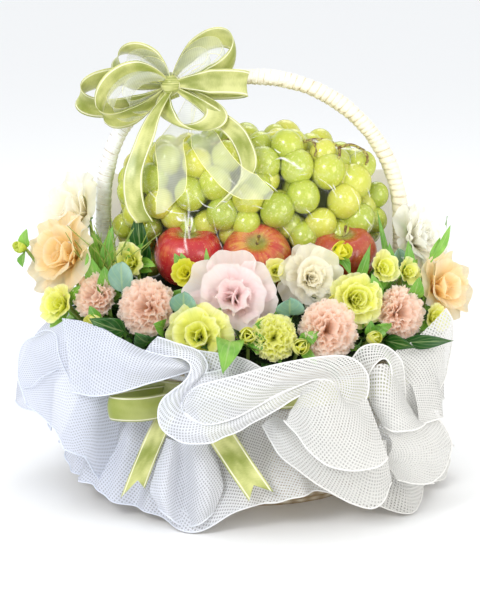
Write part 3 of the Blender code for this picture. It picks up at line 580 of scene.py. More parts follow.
for across, back in TOP_FILL:
    here = np.array((across, back, 0.80 * math.sqrt(1 - across**2 - back**2)))
    centre = HEAP_MIDDLE + HEAP_HALF * here + jitter(chance, 3) * MM
    add_grape(centre, FILL_RADIUS, (chance.uniform(-0.6, 0.6), 0))
for side in (-1, 1):
    for back, up in END_FILL:
        here = np.array((side * 0.84 * math.sqrt(1 - back**2 - up**2), back, up))
        centre = HEAP_MIDDLE + HEAP_HALF * here + jitter(chance, 3) * MM
        add_grape(centre, END_RADIUS, (0, chance.uniform(-0.6, 0.6)))
print("grapes:", len(shape.points))

# %% Grape skin
grape = Finish("grape_skin", "b0b838", 0.16, Coat_Weight=0.4, Coat_Roughness=0.06, Subsurface_Weight=0.22,
               Subsurface_Scale=0.008)
grape.shader.inputs["Subsurface Radius"].default_value = (1.0, 0.9, 0.25)
tone = grape.tint()
cloud = grape.noise(45, 3)
speck = grape.noise(420, 2).step(0.58, 0.68)
stops = [(0.15, "9aac3c"), (0.45, "b2be44"), (0.7, "c3c64a"), (0.95, "d4cf5a")]
skin = grape.ramp(tone * 0.6 + cloud * 0.5, stops)
grape.set("Base Color", grape.mix(speck * 0.45, skin, "e9e6a0"))
grape.set("Roughness", 0.14 + cloud * 0.18)
shape.make("grape_bunches", grape, "grape_skin", ["grapes"])

core = Shape()
half = HEAP_HALF * np.array((0.90, 0.66, 0.78))
core_middle = HEAP_MIDDLE - np.array((0, 0, 9 * MM))
core.grid(ball(np.zeros(3), 1.0, steps=(16, 28)) * half + core_middle, ring=True)
shade = Finish("grape_shade", "3a4414", 0.8)
shade.set("Base Color", shade.mix(shade.noise(60, 3), "5a6424", "8c9440"))
core.make("grape_core", shade, "grape_skin")
print("grape skin made")

# %% Stalks
STALKS = (
    ((44, -20, 345), (58, -24, 350), (72, -22, 349), (84, -26, 343)),
    ((58, -24, 350), (62, -30, 342), (60, -36, 336)),
    ((84, -26, 343), (96, -24, 345), (108, -18, 339)),
    ((84, -26, 343), (84, -34, 336), (80, -38, 330)),
    ((108, -18, 339), (112, -24, 332), (110, -28, 326)),
    ((-16, -34, 352), (-28, -30, 350), (-40, -34, 347)),
)
twig = Finish("grape_stalk", "8a7a3c", 0.7)
twig.set("Base Color", twig.mix(twig.noise(300, 2).step(0.4, 0.6), "6b4f2a", "a8a04a"))
shape = Shape()
for stalk in STALKS:
    add_rod(shape, smooth_line(metres(stalk), 10), np.linspace(1.7, 1.2, 10) * MM, 8)
shape.make("grape_stalks", twig, "grape_skin")
print("stalks:", len(STALKS))

# %% [markdown]
# ## Apples
#
# An apple is a ball with five soft lobes, a deep cavity round the stalk and a shallow eye. Its skin is
# yellow under red streaks that run from stalk to eye, so the streaks are noise that is stretched along
# the turn of the fruit.

# %% Shape of an apple
APPLES = (
    ("apple_left", (-62, -48, 240.5), 34.5, 12),
    ("apple_middle", (4, -55, 239.5), 35.0, 38),
    ("apple_right", (88, -42, 240.5), 34.0, 20),
)


def leaned(point, lean):
    """Points tilted to the front by an apple's lean in degrees."""
    return point @ np.array(Matrix.Rotation(math.radians(lean), 3, "X")).T


def apple_points(centre, radius, lean):
    polar = np.linspace(0.002, np.pi - 0.002, 40)[:, None]
    turn = np.linspace(0, 2 * np.pi, 60, endpoint=False)[None, :]
    lobe = 1 + 0.02 * np.cos(5 * turn) * (0.4 + 0.6 * (polar > np.pi / 2))
    width = np.sin(polar) ** 0.92 * lobe * (1 - 0.06 * (1 - np.cos(polar)) / 2)
    cavity, eye = np.exp(-((polar / 0.42) ** 2)), np.exp(-(((np.pi - polar) / 0.35) ** 2))
    high = 0.90 * np.cos(polar) - 0.30 * cavity + 0.16 * eye + 0 * turn
    points = np.stack([width * np.cos(turn), width * np.sin(turn), high], axis=-1) * radius * MM
    return leaned(points, lean) + metres(centre)


print("points of an apple:", apple_points((0, 0, 0), 1, 0).shape[:2])


# %% Apple skin
def apple_finish(name, red, orange, yellow, blush):
    skin = Finish(name, red, 0.25, Coat_Weight=0.25, Coat_Roughness=0.12, Subsurface_Weight=0.08,
                  Subsurface_Scale=0.006)
    where = skin.place("UV")
    streak = skin.noise(1.0, 4, skin.stretched(where, (38, 3, 1)), 0.6)
    patch = skin.noise(2.2, 3, skin.stretched(where, (2, 2, 1)))
    from_stalk = 1 - skin.part(where, "Y")
    ripe = (streak * 0.55 + patch * 0.75 + blush - from_stalk * 0.05).step(0.45, 0.95)
    colour = skin.mix(ripe, yellow, orange)
    colour = skin.mix((streak * 0.6 + patch * 0.7 + blush).step(0.62, 0.98), colour, red)
    cavity = skin.part(where, "Y").step(0.13, 0.04)
    colour = skin.mix(cavity, colour, "8f8a3a")
    dots = skin.noise(520, 1).step(0.68, 0.74) * 0.45
    skin.set("Base Color", skin.mix(dots, colour, "f0c98a"))
    skin.set("Roughness", 0.2 + patch * 0.15)
    return skin


apple_looks = {
    "apple_left": apple_finish("apple_crimson", "b3242c", "cc4438", "e3a860", 0.24),
    "apple_middle": apple_finish("apple_striped", "b0302a", "c65434", "cba04c", 0.12),
    "apple_right": apple_finish("apple_orange", "a83f2a", "b55234", "bf7c42", 0.20),
}
for name, centre, radius, lean in APPLES:
    shape = Shape()
    shape.grid(apple_points(centre, radius, lean), ring=True)
    shape.make(name + "_fruit", apple_looks[name], "apple_skin", [name])
    top = leaned(np.array((0, 0, 0.60 * radius)), lean)
    tip = leaned(np.array((2, 1, 0.92 * radius)), lean)
    shape = Shape()
    line = smooth_line(metres([np.array(centre) + spot for spot in (top, (top + tip) / 2 + 0.6, tip)]), 8)
    add_rod(shape, line, np.linspace(1.1, 1.7, 8) * MM, 8)
    shape.make(name + "_stalk", twig, "apple_skin")
print("apples:", len(APPLES))

# %% [markdown]
# ## Petals
#
# A petal is a narrow sheet that grows from the flower's axis, bends outward, is cupped across its width
# and ruffles at its rim. One function makes that sheet from a few numbers. A blossom is whorls of such
# petals: a tight bud of them in the middle, then wider and flatter ones. Carnations have many narrow,
# toothed petals on a dome.


# %% One petal
RIB_STEPS = 39


def petal(length, width, lift, bend, cup, ruffle, waves, phase, foot=0.0, tooth=0.0, rows=9, columns=15):
    """Points of a petal that grows from the origin along Z and opens towards X. Angles are from Z."""
    fine = np.linspace(0, 1, RIB_STEPS + 1)
    angle = lift + (bend - lift) * fine**1.2
    slopes = np.stack([np.sin(angle), np.cos(angle)])
    gone = np.cumsum((slopes[:, 1:] + slopes[:, :-1]) / 2, axis=1)
    out, rise = np.concatenate([np.zeros((2, 1)), gone], axis=1) * length / RIB_STEPS
    t = np.linspace(-1, 1, columns)[None, :]
    share = np.linspace(0, 1, rows)[:, None]
    rim = 1 - 0.24 * np.abs(t) ** 2.4 + 0.045 * ruffle * 8 * np.sin(5.3 * t + phase)
    rim = rim + tooth * np.where(np.arange(columns)[None, :] % 2, 1, -1)
    reach = np.clip(share * rim, 0, 1)
    turn = lift + (bend - lift) * reach**1.2
    half = width / 2 * (0.20 + 0.80 * np.sin(reach * np.pi / 2) ** 0.9)
    curve = width / max(cup, 0.05)
    side = curve * np.sin(t * half / curve)
    deep = curve * (1 - np.cos(t * half / curve))
    flutter = ruffle * length * reach**2.2 * np.sin(waves * t * np.pi + phase) * (0.35 + 0.65 * np.abs(t))
    inward = deep + flutter
    x = foot + np.interp(reach, fine, out) - np.cos(turn) * inward
    z = np.interp(reach, fine, rise) + np.sin(turn) * inward
    return np.stack([x, side + 0 * share, z], axis=-1)


def turned_to(axis, spin):
    """A turn that takes Z to the axis, after a spin about Z."""
    return np.array(Vector(axis).to_track_quat("Z", "Y").to_matrix() @ Matrix.Rotation(spin, 3, "Z"))


print("a petal has", petal(1, 1, 0, 1, 1, 0, 1, 0).shape[:2], "points")

# %% Whorls of petals
# Whorls from the middle out: petals, length, width, foot, angle at the foot, angle at the rim, cup, ruffle
WHORLS = {
    "open": (
        (3, 0.84, 0.80, 0.02, -8, 10, 2.4, 0.05), (4, 1.02, 1.05, 0.05, 8, 34, 1.7, 0.08),
        (5, 1.20, 1.30, 0.07, 22, 66, 1.1, 0.11), (6, 1.30, 1.36, 0.08, 38, 94, 0.8, 0.12),
    ),
    "rose": (
        (4, 0.84, 0.80, 0.04, -4, 12, 2.2, 0.08), (5, 1.00, 1.00, 0.07, 6, 26, 1.8, 0.10),
        (6, 1.12, 1.12, 0.10, 18, 46, 1.4, 0.12), (7, 1.20, 1.20, 0.12, 32, 74, 1.0, 0.13),
        (6, 1.18, 1.16, 0.12, 50, 104, 0.8, 0.13),
    ),
    "cup": (
        (3, 0.95, 0.80, 0.03, 0, 8, 2.2, 0.06), (4, 1.18, 1.05, 0.06, 14, 34, 1.5, 0.09),
        (6, 1.30, 1.10, 0.08, 28, 66, 1.0, 0.11),
    ),
    "bud": (
        (3, 1.9, 1.25, 0.06, 22, -26, 2.6, 0.0), (3, 1.85, 1.5, 0.16, 34, -24, 2.2, 0.01),
        (3, 1.6, 1.5, 0.24, 42, -16, 2.0, 0.02),
    ),
}
DEPTH = {"open": 0.55, "rose": 0.55, "cup": 0.66, "bud": 0.95, "ruffled": 0.62}


def blossom(shape, kind, centre, axis, radius, rng):
    """Adds the petals of one head."""
    if kind == "ruffled":
        carnation(shape, centre, axis, radius, rng)
        return
    foot = centre - axis * radius * DEPTH[kind]
    for k, (count, length, width, start, lift, bend, cup, ruffle) in enumerate(WHORLS[kind]):
        first = rng.uniform(0, FULL_TURN)
        for i in range(count):
            grown = radius * rng.uniform(0.93, 1.07)
            low, high = math.radians(lift + rng.uniform(-4, 4)), math.radians(bend + rng.uniform(-9, 9))
            frill, waves = ruffle * rng.uniform(0.6, 1.4), rng.choice((1.5, 2.2, 3))
            phase = rng.uniform(0, FULL_TURN)
            sheet = petal(length * grown, width * grown, low, high, cup, frill, waves, phase, start * radius)
            turn = turned_to(axis, first + 2 * math.pi * i / count + rng.uniform(-0.12, 0.12))
            outer = k / (len(WHORLS[kind]) - 1)
            shape.grid(sheet @ turn.T + foot, tint=outer * 0.7 + rng.uniform(0, 0.3))


print("kinds of head:", list(DEPTH))

# %% Carnations
CARNATION_PETALS = 54
GOLDEN_ANGLE = 2.39996


def carnation(shape, centre, axis, radius, rng):
    """Many narrow petals with toothed rims, whose tips make a dome."""
    foot = centre - axis * radius * 0.45
    for i in range(CARNATION_PETALS):
        share = (i + 0.5) / CARNATION_PETALS
        tip = math.radians(8 + 88 * share**0.62)
        out, high = radius * math.sin(tip), radius * (0.45 + 0.52 * math.cos(tip))
        lean = math.atan2(out, high)
        length = math.hypot(out, high) * rng.uniform(0.95, 1.06)
        sheet = petal(length, radius * rng.uniform(0.66, 0.92), lean * 0.75, lean * 1.35, 0.8, 0.14,
                      rng.choice((2, 2.5, 3)), rng.uniform(0, FULL_TURN), tooth=0.028, columns=17)
        turn = turned_to(axis, i * GOLDEN_ANGLE + rng.uniform(-0.2, 0.2))
        shape.grid(sheet @ turn.T + foot, tint=rng.random())


print("petals of a carnation:", CARNATION_PETALS)


# %% Petal finishes
def petal_finish(name, heart, body, rim, outside=None, through=0.45):
    """Colours from the petal's foot to its rim, with fine veins. Outer petals may be paler."""
    soft = Finish(name, body, 0.62, Sheen_Weight=0.12)
    where = soft.place("UV")
    along = soft.part(where, "Y")
    vein = soft.noise(1.0, 2, soft.stretched(where, (26, 1.6, 1)))
    cloud = soft.noise(60, 2)
    field = soft.mix(soft.tint().step(0.30, 0.75), body, outside or body)
    colour = soft.mix((along + cloud * 0.25 - 0.12).step(0.12, 0.62), heart, field)
    colour = soft.mix((along + cloud * 0.2 - 0.1).step(0.80, 1.02), colour, rim)
    colour = soft.mix(vein.step(0.48, 0.72) * 0.25, colour, heart)
    soft.set("Base Color", colour)
    soft.bump(vein, 0.25, 0.6 * MM)
    soft.glow_through(body, through)
    return soft


PETAL_LOOKS = {
    "pink": petal_finish("petals_pink", "fde2cc", "fff0f0", "fff9f8", "fff4f4", 0.55),
    "peach": petal_finish("petals_peach", "ffca90", "ffecdd", "fff8f2", through=0.6),
    "apricot": petal_finish("petals_apricot", "ffce58", "ffecba", "fff9ee", "fff6e6", 0.65),
    "cream": petal_finish("petals_cream", "fbecb0", "fffcf0", "fffffa", "fffdf4", 0.65),
    "white": petal_finish("petals_white", "faf0c8", "fffef8", "fffffc", through=0.6),
    "lime": petal_finish("petals_lime", "d4dc34", "f3f472", "fcfbd0", "fbfaa8"),
    "yellow": petal_finish("petals_yellow", "e2e01c", "f2f044", "f8f47c"),
    "green": petal_finish("petals_green", "b6c436", "dae45c", "eef08e"),
}
print("petal colours:", len(PETAL_LOOKS))

# %% Where the blossoms stand
# Name, kind, centre in mm, radius in mm, and how much fuller the soft head is than its solid
BED_HALF_WIDTH = 172 * MM
BED_HALF_DEPTH = 147 * MM
BED_TOP = 205 * MM
BED_EDGE = 158 * MM
BED_FLAT_SHARE = 0.56
BLOSSOMS = (
    ("lisianthus_pink", "open", (-18, -122, 217), 34, 1.12),
    ("carnation_peach_left", "ruffled", (-100, -116, 206), 26, 1.1),
    ("carnation_peach_far_left", "ruffled", (-150, -86, 210), 20, 1.18),
    ("lisianthus_apricot_left", "open", (-184, -54, 243), 28, 1.24),
    ("lisianthus_cream_left", "open", (-176, -26, 281), 21, 1.6),
    ("lisianthus_cream_middle", "rose", (56, -102, 232), 23, 1.2),
    ("lisianthus_peach_front", "ruffled", (70, -142, 191), 24, 1.2),
    ("carnation_peach_right", "ruffled", (140, -98, 196), 25, 1.06),
    ("lisianthus_white_right", "rose", (166, -30, 255), 22, 1.3),
    ("lisianthus_apricot_right", "open", (186, -50, 209), 23, 1.28),
    ("carnation_lime_right", "rose", (98, -114, 213), 19, 1.24),
    ("carnation_lime_front", "ruffled", (20, -152, 186), 19, 1.18),
    ("lisianthus_lime_front", "open", (-51, -152, 188), 19, 1.45),
    ("bloom_lime_upper_left", "cup", (-118, -80, 241), 15, 1.28),
    ("bloom_yellow_left", "cup", (-64, -99, 235), 11, 1.28),
    ("bloom_lime_low_left", "cup", (-186, -84, 201), 15, 1.3),
    ("bud_lime_left", "bud", (-150, -114, 190), 10, 1.15),
    ("bud_yellow_right", "bud", (84, -90, 254), 9, 1.35),
    ("bloom_lime_upper_right", "cup", (125, -82, 236), 12, 1.4),
    ("bloom_lime_middle", "cup", (22, -98, 237), 9, 1.4),
    ("bud_lime_front", "bud", (-5, -162, 190), 8, 1.4),
    ("bud_lime_front_right", "bud", (44, -162, 180), 8, 1.4),
    ("bloom_lime_side_right", "cup", (150, -66, 228), 11, 1.25),
    ("bloom_lime_low_right", "cup", (176, -80, 186), 11, 1.35),
    ("bud_lime_low_right", "bud", (113, -134, 181), 7.5, 1.35),
    ("bud_green_left", "bud", (-225, -50, 249), 6.5, 1.2),
)


def bed_height(x, y):
    share = math.hypot(x / BED_HALF_WIDTH, y / BED_HALF_DEPTH)
    slope = min(max((share - BED_FLAT_SHARE) / (1 - BED_FLAT_SHARE), 0.0), 1.0)
    return BED_TOP + (BED_EDGE - BED_TOP) * slope


def facing(x, y):
    """The way a blossom looks: out from the basket, up, and a little towards the front."""
    out = unit(np.array((x / BED_HALF_WIDTH**2, y / BED_HALF_DEPTH**2, 0)))
    return unit(out + np.array((0, -0.60, 0.55)))


print("blossoms:", len(BLOSSOMS))

# %% Blossoms, with stems and sepals
STEM_RADIUS = 1.7 * MM
SEPALS = 5
leaf_stem = Finish("stem_green", "7d9440", 0.6)
leaf_stem.set("Base Color", leaf_stem.mix(leaf_stem.noise(120, 2), "5f7a2c", "a3b454"))
stems = Shape()
for order, (name, kind, centre, radius, fuller) in enumerate(BLOSSOMS):
    rng = random.Random(100 + order)
    centre = metres(centre)
    radius = radius * fuller * MM
    axis = facing(centre[0], centre[1])
    shape = Shape()
    blossom(shape, kind, centre, axis, radius, rng)
    colour = name.split("_")[1]
    shape.make(name + "_petals", PETAL_LOOKS[colour], "petal_" + colour, [name])
    neck = centre - axis * radius * (DEPTH[kind] + 0.1)
    foot = neck * 0.93
    share = math.hypot(foot[0] / BED_HALF_WIDTH, foot[1] / BED_HALF_DEPTH)
    foot[:2] *= min(1.0, 0.96 / share)
    foot[2] = bed_height(foot[0], foot[1]) - 2 * MM
    line = smooth_line([centre - axis * radius * 0.35, neck, (neck + foot) / 2, foot], 14)
    stems.grid(tube_points(line, STEM_RADIUS, 8), ring=True)
    sepal = petal(radius * 0.62, radius * 0.34, math.radians(30), math.radians(60), 1.2, 0.02, 1, 0,
                  radius * 0.1, rows=6, columns=5)
    for i in range(SEPALS):
        turn = turned_to(axis, 2 * math.pi * i / SEPALS + order)
        stems.grid(sepal @ turn.T + neck, tint=0.5)
stems.make("stems_and_sepals", leaf_stem, "leaf_green")
print("stems and sepals:", len(stems.points))

# %% [markdown]
# ## Leaves
#
# Three sorts of leaf stand between the blossoms: dark glossy ovals, grey-green round ones, and fresh
# green blades. Each is a sheet folded along its rib, with a pointed or round outline. Small dark ones
# fill the gaps down to the moss, so the blossoms stand in shade and not on bare ground.


# %% One leaf
STALK_HALF = 0.6 * MM


def leaf_points(foot, tip, width, curl, outline, face, rows=10, columns=7):
    """A blade from foot to tip. Its outline: where it is widest, how round it is, share of bare stalk."""
    foot, tip = np.asarray(foot, float), np.asarray(tip, float)
    along = tip - foot
    long = np.linalg.norm(along)
    across = unit(np.cross(along, face))
    face = unit(np.cross(across, along))
    s = (1 - np.cos(np.linspace(0, np.pi, rows)[:, None])) / 2
    t = np.linspace(-1, 1, columns)[None, :]
    widest, round_, stalk = outline
    s = np.concatenate([[[0.0]], stalk + (1 - stalk) * s])
    blade = np.clip((s - stalk) / (1 - stalk), 0, 1)
    shift = blade ** (math.log(0.5) / math.log(widest))
    half = width / 2 * np.maximum(np.sin(shift * np.pi), 0.0) ** round_
    half = np.maximum(half, STALK_HALF * (blade < 0.9))
    bow = long * curl * np.sin(np.pi * s)
    fold = np.abs(t) * half * 0.30
    wave = 0.05 * width * np.sin(9 * s + 2 * t)
    rise = (bow + fold + wave * np.abs(t))[..., None] * face
    return foot + s[..., None] * along + (t * half)[..., None] * across + rise


OVATE, ROUND, BLADE = (0.40, 0.85, 0.12), (0.52, 0.50, 0.45), (0.45, 1.15, 0.05)
print("stalk of a round leaf:", ROUND[2])

# %% Leaves: foot, tip and width in mm, curl and outline
LEAVES = (
    ("leaf_dark_upper_left", (-103, -54, 212), (-110, -56, 286), 24, 0.06, OVATE),
    ("leaf_green_far_left", (-130, -54, 200), (-151, -50, 262), 22, 0.12, OVATE),
    ("leaf_grey_left", (-122, -92, 194), (-124, -100, 246), 26, 0.05, ROUND),
    ("leaf_under_apple", (-88, -88, 207), (-42, -96, 216), 13, 0.10, OVATE),
    ("leaf_spike_middle", (-38, -99, 200), (-44, -100, 259), 11, 0.05, OVATE),
    ("leaf_grey_middle", (-64, -124, 188), (-64, -146, 228), 26, 0.05, ROUND),
    ("leaf_dark_low_left", (-117, -126, 184), (-151, -150, 203), 22, 0.10, OVATE),
    ("leaf_dark_front_left", (-96, -138, 179), (-108, -174, 196), 22, 0.10, OVATE),
    ("leaf_bright_front", (-74, -132, 172), (-78, -166, 186), 13, 0.10, OVATE),
    ("leaf_over_net", (-21, -142, 176), (-27, -208, 168), 26, 0.22, OVATE),
    ("leaf_grey_right", (34, -124, 190), (34, -146, 222), 27, 0.05, ROUND),
    ("leaf_tall_right", (94, -86, 206), (112, -84, 260), 11, 0.06, BLADE),
    ("leaf_thin_right", (135, -40, 200), (121, -36, 283), 7, 0.04, BLADE),
    ("leaf_grey_upper_right", (142, -40, 196), (141, -52, 248), 20, 0.05, ROUND),
    ("leaf_white_side_right", (166, 4, 168), (194, 8, 268), 10, 0.06, BLADE),
    ("leaf_dark_blade_right", (137, -117, 172), (186, -148, 182), 14, 0.06, BLADE),
    ("leaf_dark_low_right", (122, -112, 173), (150, -158, 178), 15, 0.06, BLADE),
    ("leaf_dark_front_right", (99, -128, 173), (95, -168, 181), 12, 0.06, BLADE),
)


print("leaves in the table:", len(LEAVES))


# %% Leaf finishes
def leaf_finish(name, dark, light, rough):
    green = Finish(name, dark, rough, Coat_Weight=0.08)
    where = green.place("UV")
    side = (green.part(where, "X") - 0.5).absolute()
    along = green.part(where, "Y")
    veins = ((along * 11 - side * 9) * math.pi).sine().step(0.75, 1.0)
    rib = side.step(0.05, 0.02)
    cloud = green.noise(80, 3)
    colour = green.mix((cloud + green.tint() * 0.5 - 0.25).step(0.2, 0.9), dark, light)
    green.set("Base Color", green.mix((veins * 0.25).highest(rib * 0.5), colour, "b9cf8a"))
    green.bump(veins + rib, 0.3, 0.5 * MM)
    green.glow_through(light, 0.22)
    return green


LEAF_LOOKS = {
    "dark": leaf_finish("leaves_dark", "22551a", "3c7c2a", 0.35),
    "grey": leaf_finish("leaves_grey", "7fa892", "a6c6b4", 0.55),
    "green": leaf_finish("leaves_green", "5c9a30", "92c652", 0.40),
    "deep": leaf_finish("leaves_deep", "14340f", "28551f", 0.45),
}
LEAF_THICKNESS = 0.5 * MM
for order, (name, foot, tip, width, curl, outline) in enumerate(LEAVES):
    foot, tip = metres(foot), metres(tip)
    middle = (foot + tip) / 2
    look = name.split("_")[1]
    look = look if look in ("dark", "grey") else "green"
    shape = Shape()
    face = facing(middle[0], middle[1]) + np.array((0, -0.7, 0))
    shape.grid(leaf_points(foot, tip, width * MM, curl, outline, face), tint=order % 5 / 5)
    shape.make(name + "_blade", LEAF_LOOKS[look], "leaf_" + look, [name], solid=LEAF_THICKNESS)
print("leaves:", len(LEAVES))

# %% Loose leaves, and leaves on the blossoms' stems
# Loose leaves that fill the places beside the handle: foot, tip and width in mm
LOOSE_LEAVES = (
    ((-140, -70, 205), (-158, -80, 250), 20), ((-132, -80, 205), (-141, -94, 240), 22),
    ((-126, -66, 208), (-118, -72, 262), 17), ((-138, -62, 212), (-134, -68, 274), 16),
    ((-146, -56, 212), (-152, -60, 268), 15), ((128, -60, 205), (131, -68, 258), 14),
    ((150, -74, 200), (158, -92, 230), 17), ((118, -92, 200), (112, -104, 236), 14),
    ((146, -50, 206), (150, -58, 258), 14), ((-30, -120, 196), (-42, -146, 206), 18),
    ((10, -130, 190), (2, -158, 200), 16), ((172, -58, 236), (190, -62, 274), 9),
    ((170, -60, 240), (180, -64, 262), 8), ((52, -136, 180), (56, -166, 184), 16),
    ((-84, -126, 188), (-92, -150, 198), 18), ((120, -116, 184), (126, -142, 190), 16),
)
stem_leaves = Shape()
for order, (name, kind, centre, radius, fuller) in enumerate(BLOSSOMS):
    rng = random.Random(500 + order)
    centre = metres(centre)
    axis = facing(centre[0], centre[1])
    neck = centre - axis * radius * fuller * MM * (DEPTH[kind] + 0.25)
    for i in range(4 if radius > 12 else 2):
        way = turned_to(axis, rng.uniform(0, FULL_TURN)) @ np.array((1.0, 0.0, 0.25))
        way = unit(way + np.array((0, -0.25, 0.1)))
        long = (0.55 * radius * fuller + rng.uniform(13, 20)) * MM
        face = unit(axis + jitter(rng, 0.3))
        sheet = leaf_points(neck, neck + way * long, rng.uniform(10, 15) * MM, 0.12, OVATE, face, 8, 5)
        stem_leaves.grid(sheet, tint=rng.random())
for foot, tip, width in LOOSE_LEAVES:
    foot, tip = metres(foot), metres(tip)
    face = facing(foot[0], foot[1]) + np.array((0, -0.8, 0.3))
    stem_leaves.grid(leaf_points(foot, tip, width * MM, 0.12, OVATE, face, 9, 5), tint=foot[2] * 7 % 1)
stem_leaves.make("stem_leaves", LEAF_LOOKS["green"], "leaf_green")
print("leaves on stems:", len(stem_leaves.points))

# %% Thin sprigs at the left
SPRIG_FOOT = (-138, -66, 214)
SPRIG_COUNT = 24
sprigs = Shape()
rng = random.Random(77)
for i in range(SPRIG_COUNT):
    foot = metres(np.array(SPRIG_FOOT) + np.array([rng.uniform(-9, 14), rng.uniform(-6, 6), 0]))
    lean = np.array((rng.uniform(-0.8, 0.7), rng.uniform(-0.5, 0.1), 1.0))
    tip = foot + unit(lean) * rng.uniform(48, 72) * MM
    bend = (foot + tip) / 2 + metres([rng.uniform(-6, 6), rng.uniform(-4, 4), 5])
    add_rod(sprigs, smooth_line([foot, bend, tip], 9), np.linspace(0.9, 0.4, 9) * MM, 5)
sprigs.make("thin_sprigs", leaf_stem, "leaf_green")
print("sprigs:", SPRIG_COUNT)

# %% Small foliage between the blossoms
FILL_LEAVES = 330
rng = random.Random(31)
deep, fresh = Shape(), Shape()
for i in range(FILL_LEAVES):
    angle = 2 * math.pi * (i + rng.random()) / FILL_LEAVES
    share = rng.uniform(0.68, 0.98)
    x, y = BED_HALF_WIDTH * share * math.cos(angle), BED_HALF_DEPTH * share * math.sin(angle)
    foot = np.array((x, y, bed_height(x, y) - 2 * MM))
    way = unit(facing(x, y) + jitter(rng, 0.6))
    long = rng.uniform(22, 42) * MM
    face = unit(np.array((0.2, -0.3, 1.0)) + jitter(rng, 0.7))
    sheet = leaf_points(foot, foot + way * long, rng.uniform(10, 17) * MM, 0.15, OVATE, face, 7, 5)
    (fresh if rng.random() < 0.45 else deep).grid(sheet, tint=rng.random())
deep.make("foliage_deep", LEAF_LOOKS["deep"], "leaf_dark")
fresh.make("foliage_fresh", LEAF_LOOKS["green"], "leaf_green")
print("small leaves:", FILL_LEAVES)

# %% [markdown]
# ## Net wrap
#
# The wrap is a stiff white gauze, gathered by a ribbon at the waist. Below the waist it flares to a
# skirt. Above it stands up to a crest round the blossoms and falls over in a ruffle. At the front the
# ruffle is turned over itself in an S, with its rolled selvage as a bright line. The skirt and ruffle
# follow tables by angle, and the folds at the front are sheets between lines drawn where the photo shows
# them. The weave is made by the material: holes between threads, measured along the cloth.

# %% The cloth by angle round the basket: degrees, distance out and height in mm
NET_HALF_WIDTH = 161 * MM
NET_HALF_DEPTH = 137.5 * MM
NET_FLUTES = 8
WAIST_LOW, WAIST_HIGH, WAIST_OUT = 112 * MM, 139 * MM, 1.2 * MM
SKIRT_HEM = (
    (0, 36, 30), (15, 34, 10), (35, 38, 26), (60, 34, 6), (85, 38, 24), (110, 34, 5), (135, 36, 26),
    (160, 32, 10), (180, 27, 34), (200, 30, 20), (215, 32, 27), (235, 30, 12), (253, 42, 2), (270, 27, 28),
    (288, 32, 38), (303, 34, 20), (318, 36, 3), (332, 32, 16), (346, 37, 8), (360, 36, 30),
)
CREST = (
    (0, 36, 166), (90, 34, 166), (150, 30, 168), (180, 21, 168), (205, 27, 175), (222, 33, 178),
    (240, 36, 160), (252, 36, 152), (272, 36, 150), (292, 36, 150), (306, 36, 152), (320, 37, 168),
    (360, 36, 166),
)
RUFFLE_HEM = (
    (0, 25, 80), (20, 32, 82), (45, 46, 98), (68, 50, 78), (90, 48, 100), (112, 52, 80), (138, 56, 98),
    (160, 62, 82), (180, 70, 78), (200, 66, 84), (211, 60, 78), (222, 58, 134), (232, 64, 138),
    (243, 62, 146), (249, 66, 130), (255, 77, 101), (263, 79, 105), (272, 79, 114), (279, 81, 118),
    (284, 84, 90), (291, 85, 77), (299, 82, 80), (304, 78, 102), (310, 76, 104), (318, 66, 104),
    (328, 48, 98), (346, 27, 84), (360, 25, 80),
)


def around(table, degrees):
    """Distance out and height at an angle, eased between the rows of a table."""
    degrees = degrees % 360
    for (low, *first), (high, *last) in zip(table, table[1:]):
        if degrees <= high:
            share = (1 - math.cos(math.pi * (degrees - low) / (high - low))) / 2
            return [(a + (b - a) * share) * MM for a, b in zip(first, last)]


print("crest at the front, mm:", round(around(CREST, 270)[1] / MM))


# %% A point of the net
def net_point(part, share, degrees):
    """A point of the cloth: big flutes, and finer creases that run up and down."""
    angle = math.radians(degrees)
    beat = math.cos(NET_FLUTES * angle + 0.9 * math.sin(2 * angle))
    fine = math.sin(23 * angle + 1.7 * math.sin(3 * angle))
    fine += 0.6 * math.sin(41 * angle + 2 * math.sin(5 * angle))
    crest_out, crest = around(CREST, degrees)
    if part == "skirt":
        out, hem = around(SKIRT_HEM, degrees)
        reach = WAIST_OUT + (out - WAIST_OUT) * share**1.15 + 6 * MM * beat * share * share
        reach += fine * MM * (0.8 + 4.2 * share**0.6 * (1 - 0.45 * share))
        high = WAIST_LOW + (hem - WAIST_LOW) * share
    elif part == "crest":
        reach = WAIST_OUT + (crest_out - WAIST_OUT) * share**0.45 + fine * MM * (0.8 + 0.9 * share)
        high = WAIST_HIGH + (crest - WAIST_HIGH) * share
    else:
        out, hem = around(RUFFLE_HEM, degrees)
        turn = math.sin(share * math.pi / 2)
        reach = crest_out + (out - crest_out) * turn + 8 * MM * beat * share
        reach += fine * MM * (1.7 - 0.4 * share)
        high = crest + 3 * MM * math.sin(share * math.pi) + (hem - crest) * share**1.6
    return ((NET_HALF_WIDTH + reach) * math.cos(angle), (NET_HALF_DEPTH + reach) * math.sin(angle), high)


print("hem at the front, mm:", round(net_point("skirt", 1.0, 270)[2] / MM))

# %% Gauze and selvage
THREAD_PITCH = 2.7 * MM
THREAD_SHARE = 0.48
FUZZ = 0.32
FUZZ_AND_GLARE_LEFT = 0.54
THREAD_SLANT = 0.45
gauze = Finish("white_gauze", "d4d8e0", 0.8, Sheen_Weight=0.1)
where = gauze.place("UV")
drift = (gauze.noise(35, 2) - 0.5) * 0.5
threads = []
for axis in ("X", "Y"):
    line = (gauze.part(where, axis) / THREAD_PITCH + drift).fraction()
    threads.append(1 - (line - 0.5).absolute().step(THREAD_SHARE / 2 - 0.05, THREAD_SHARE / 2 + 0.08))
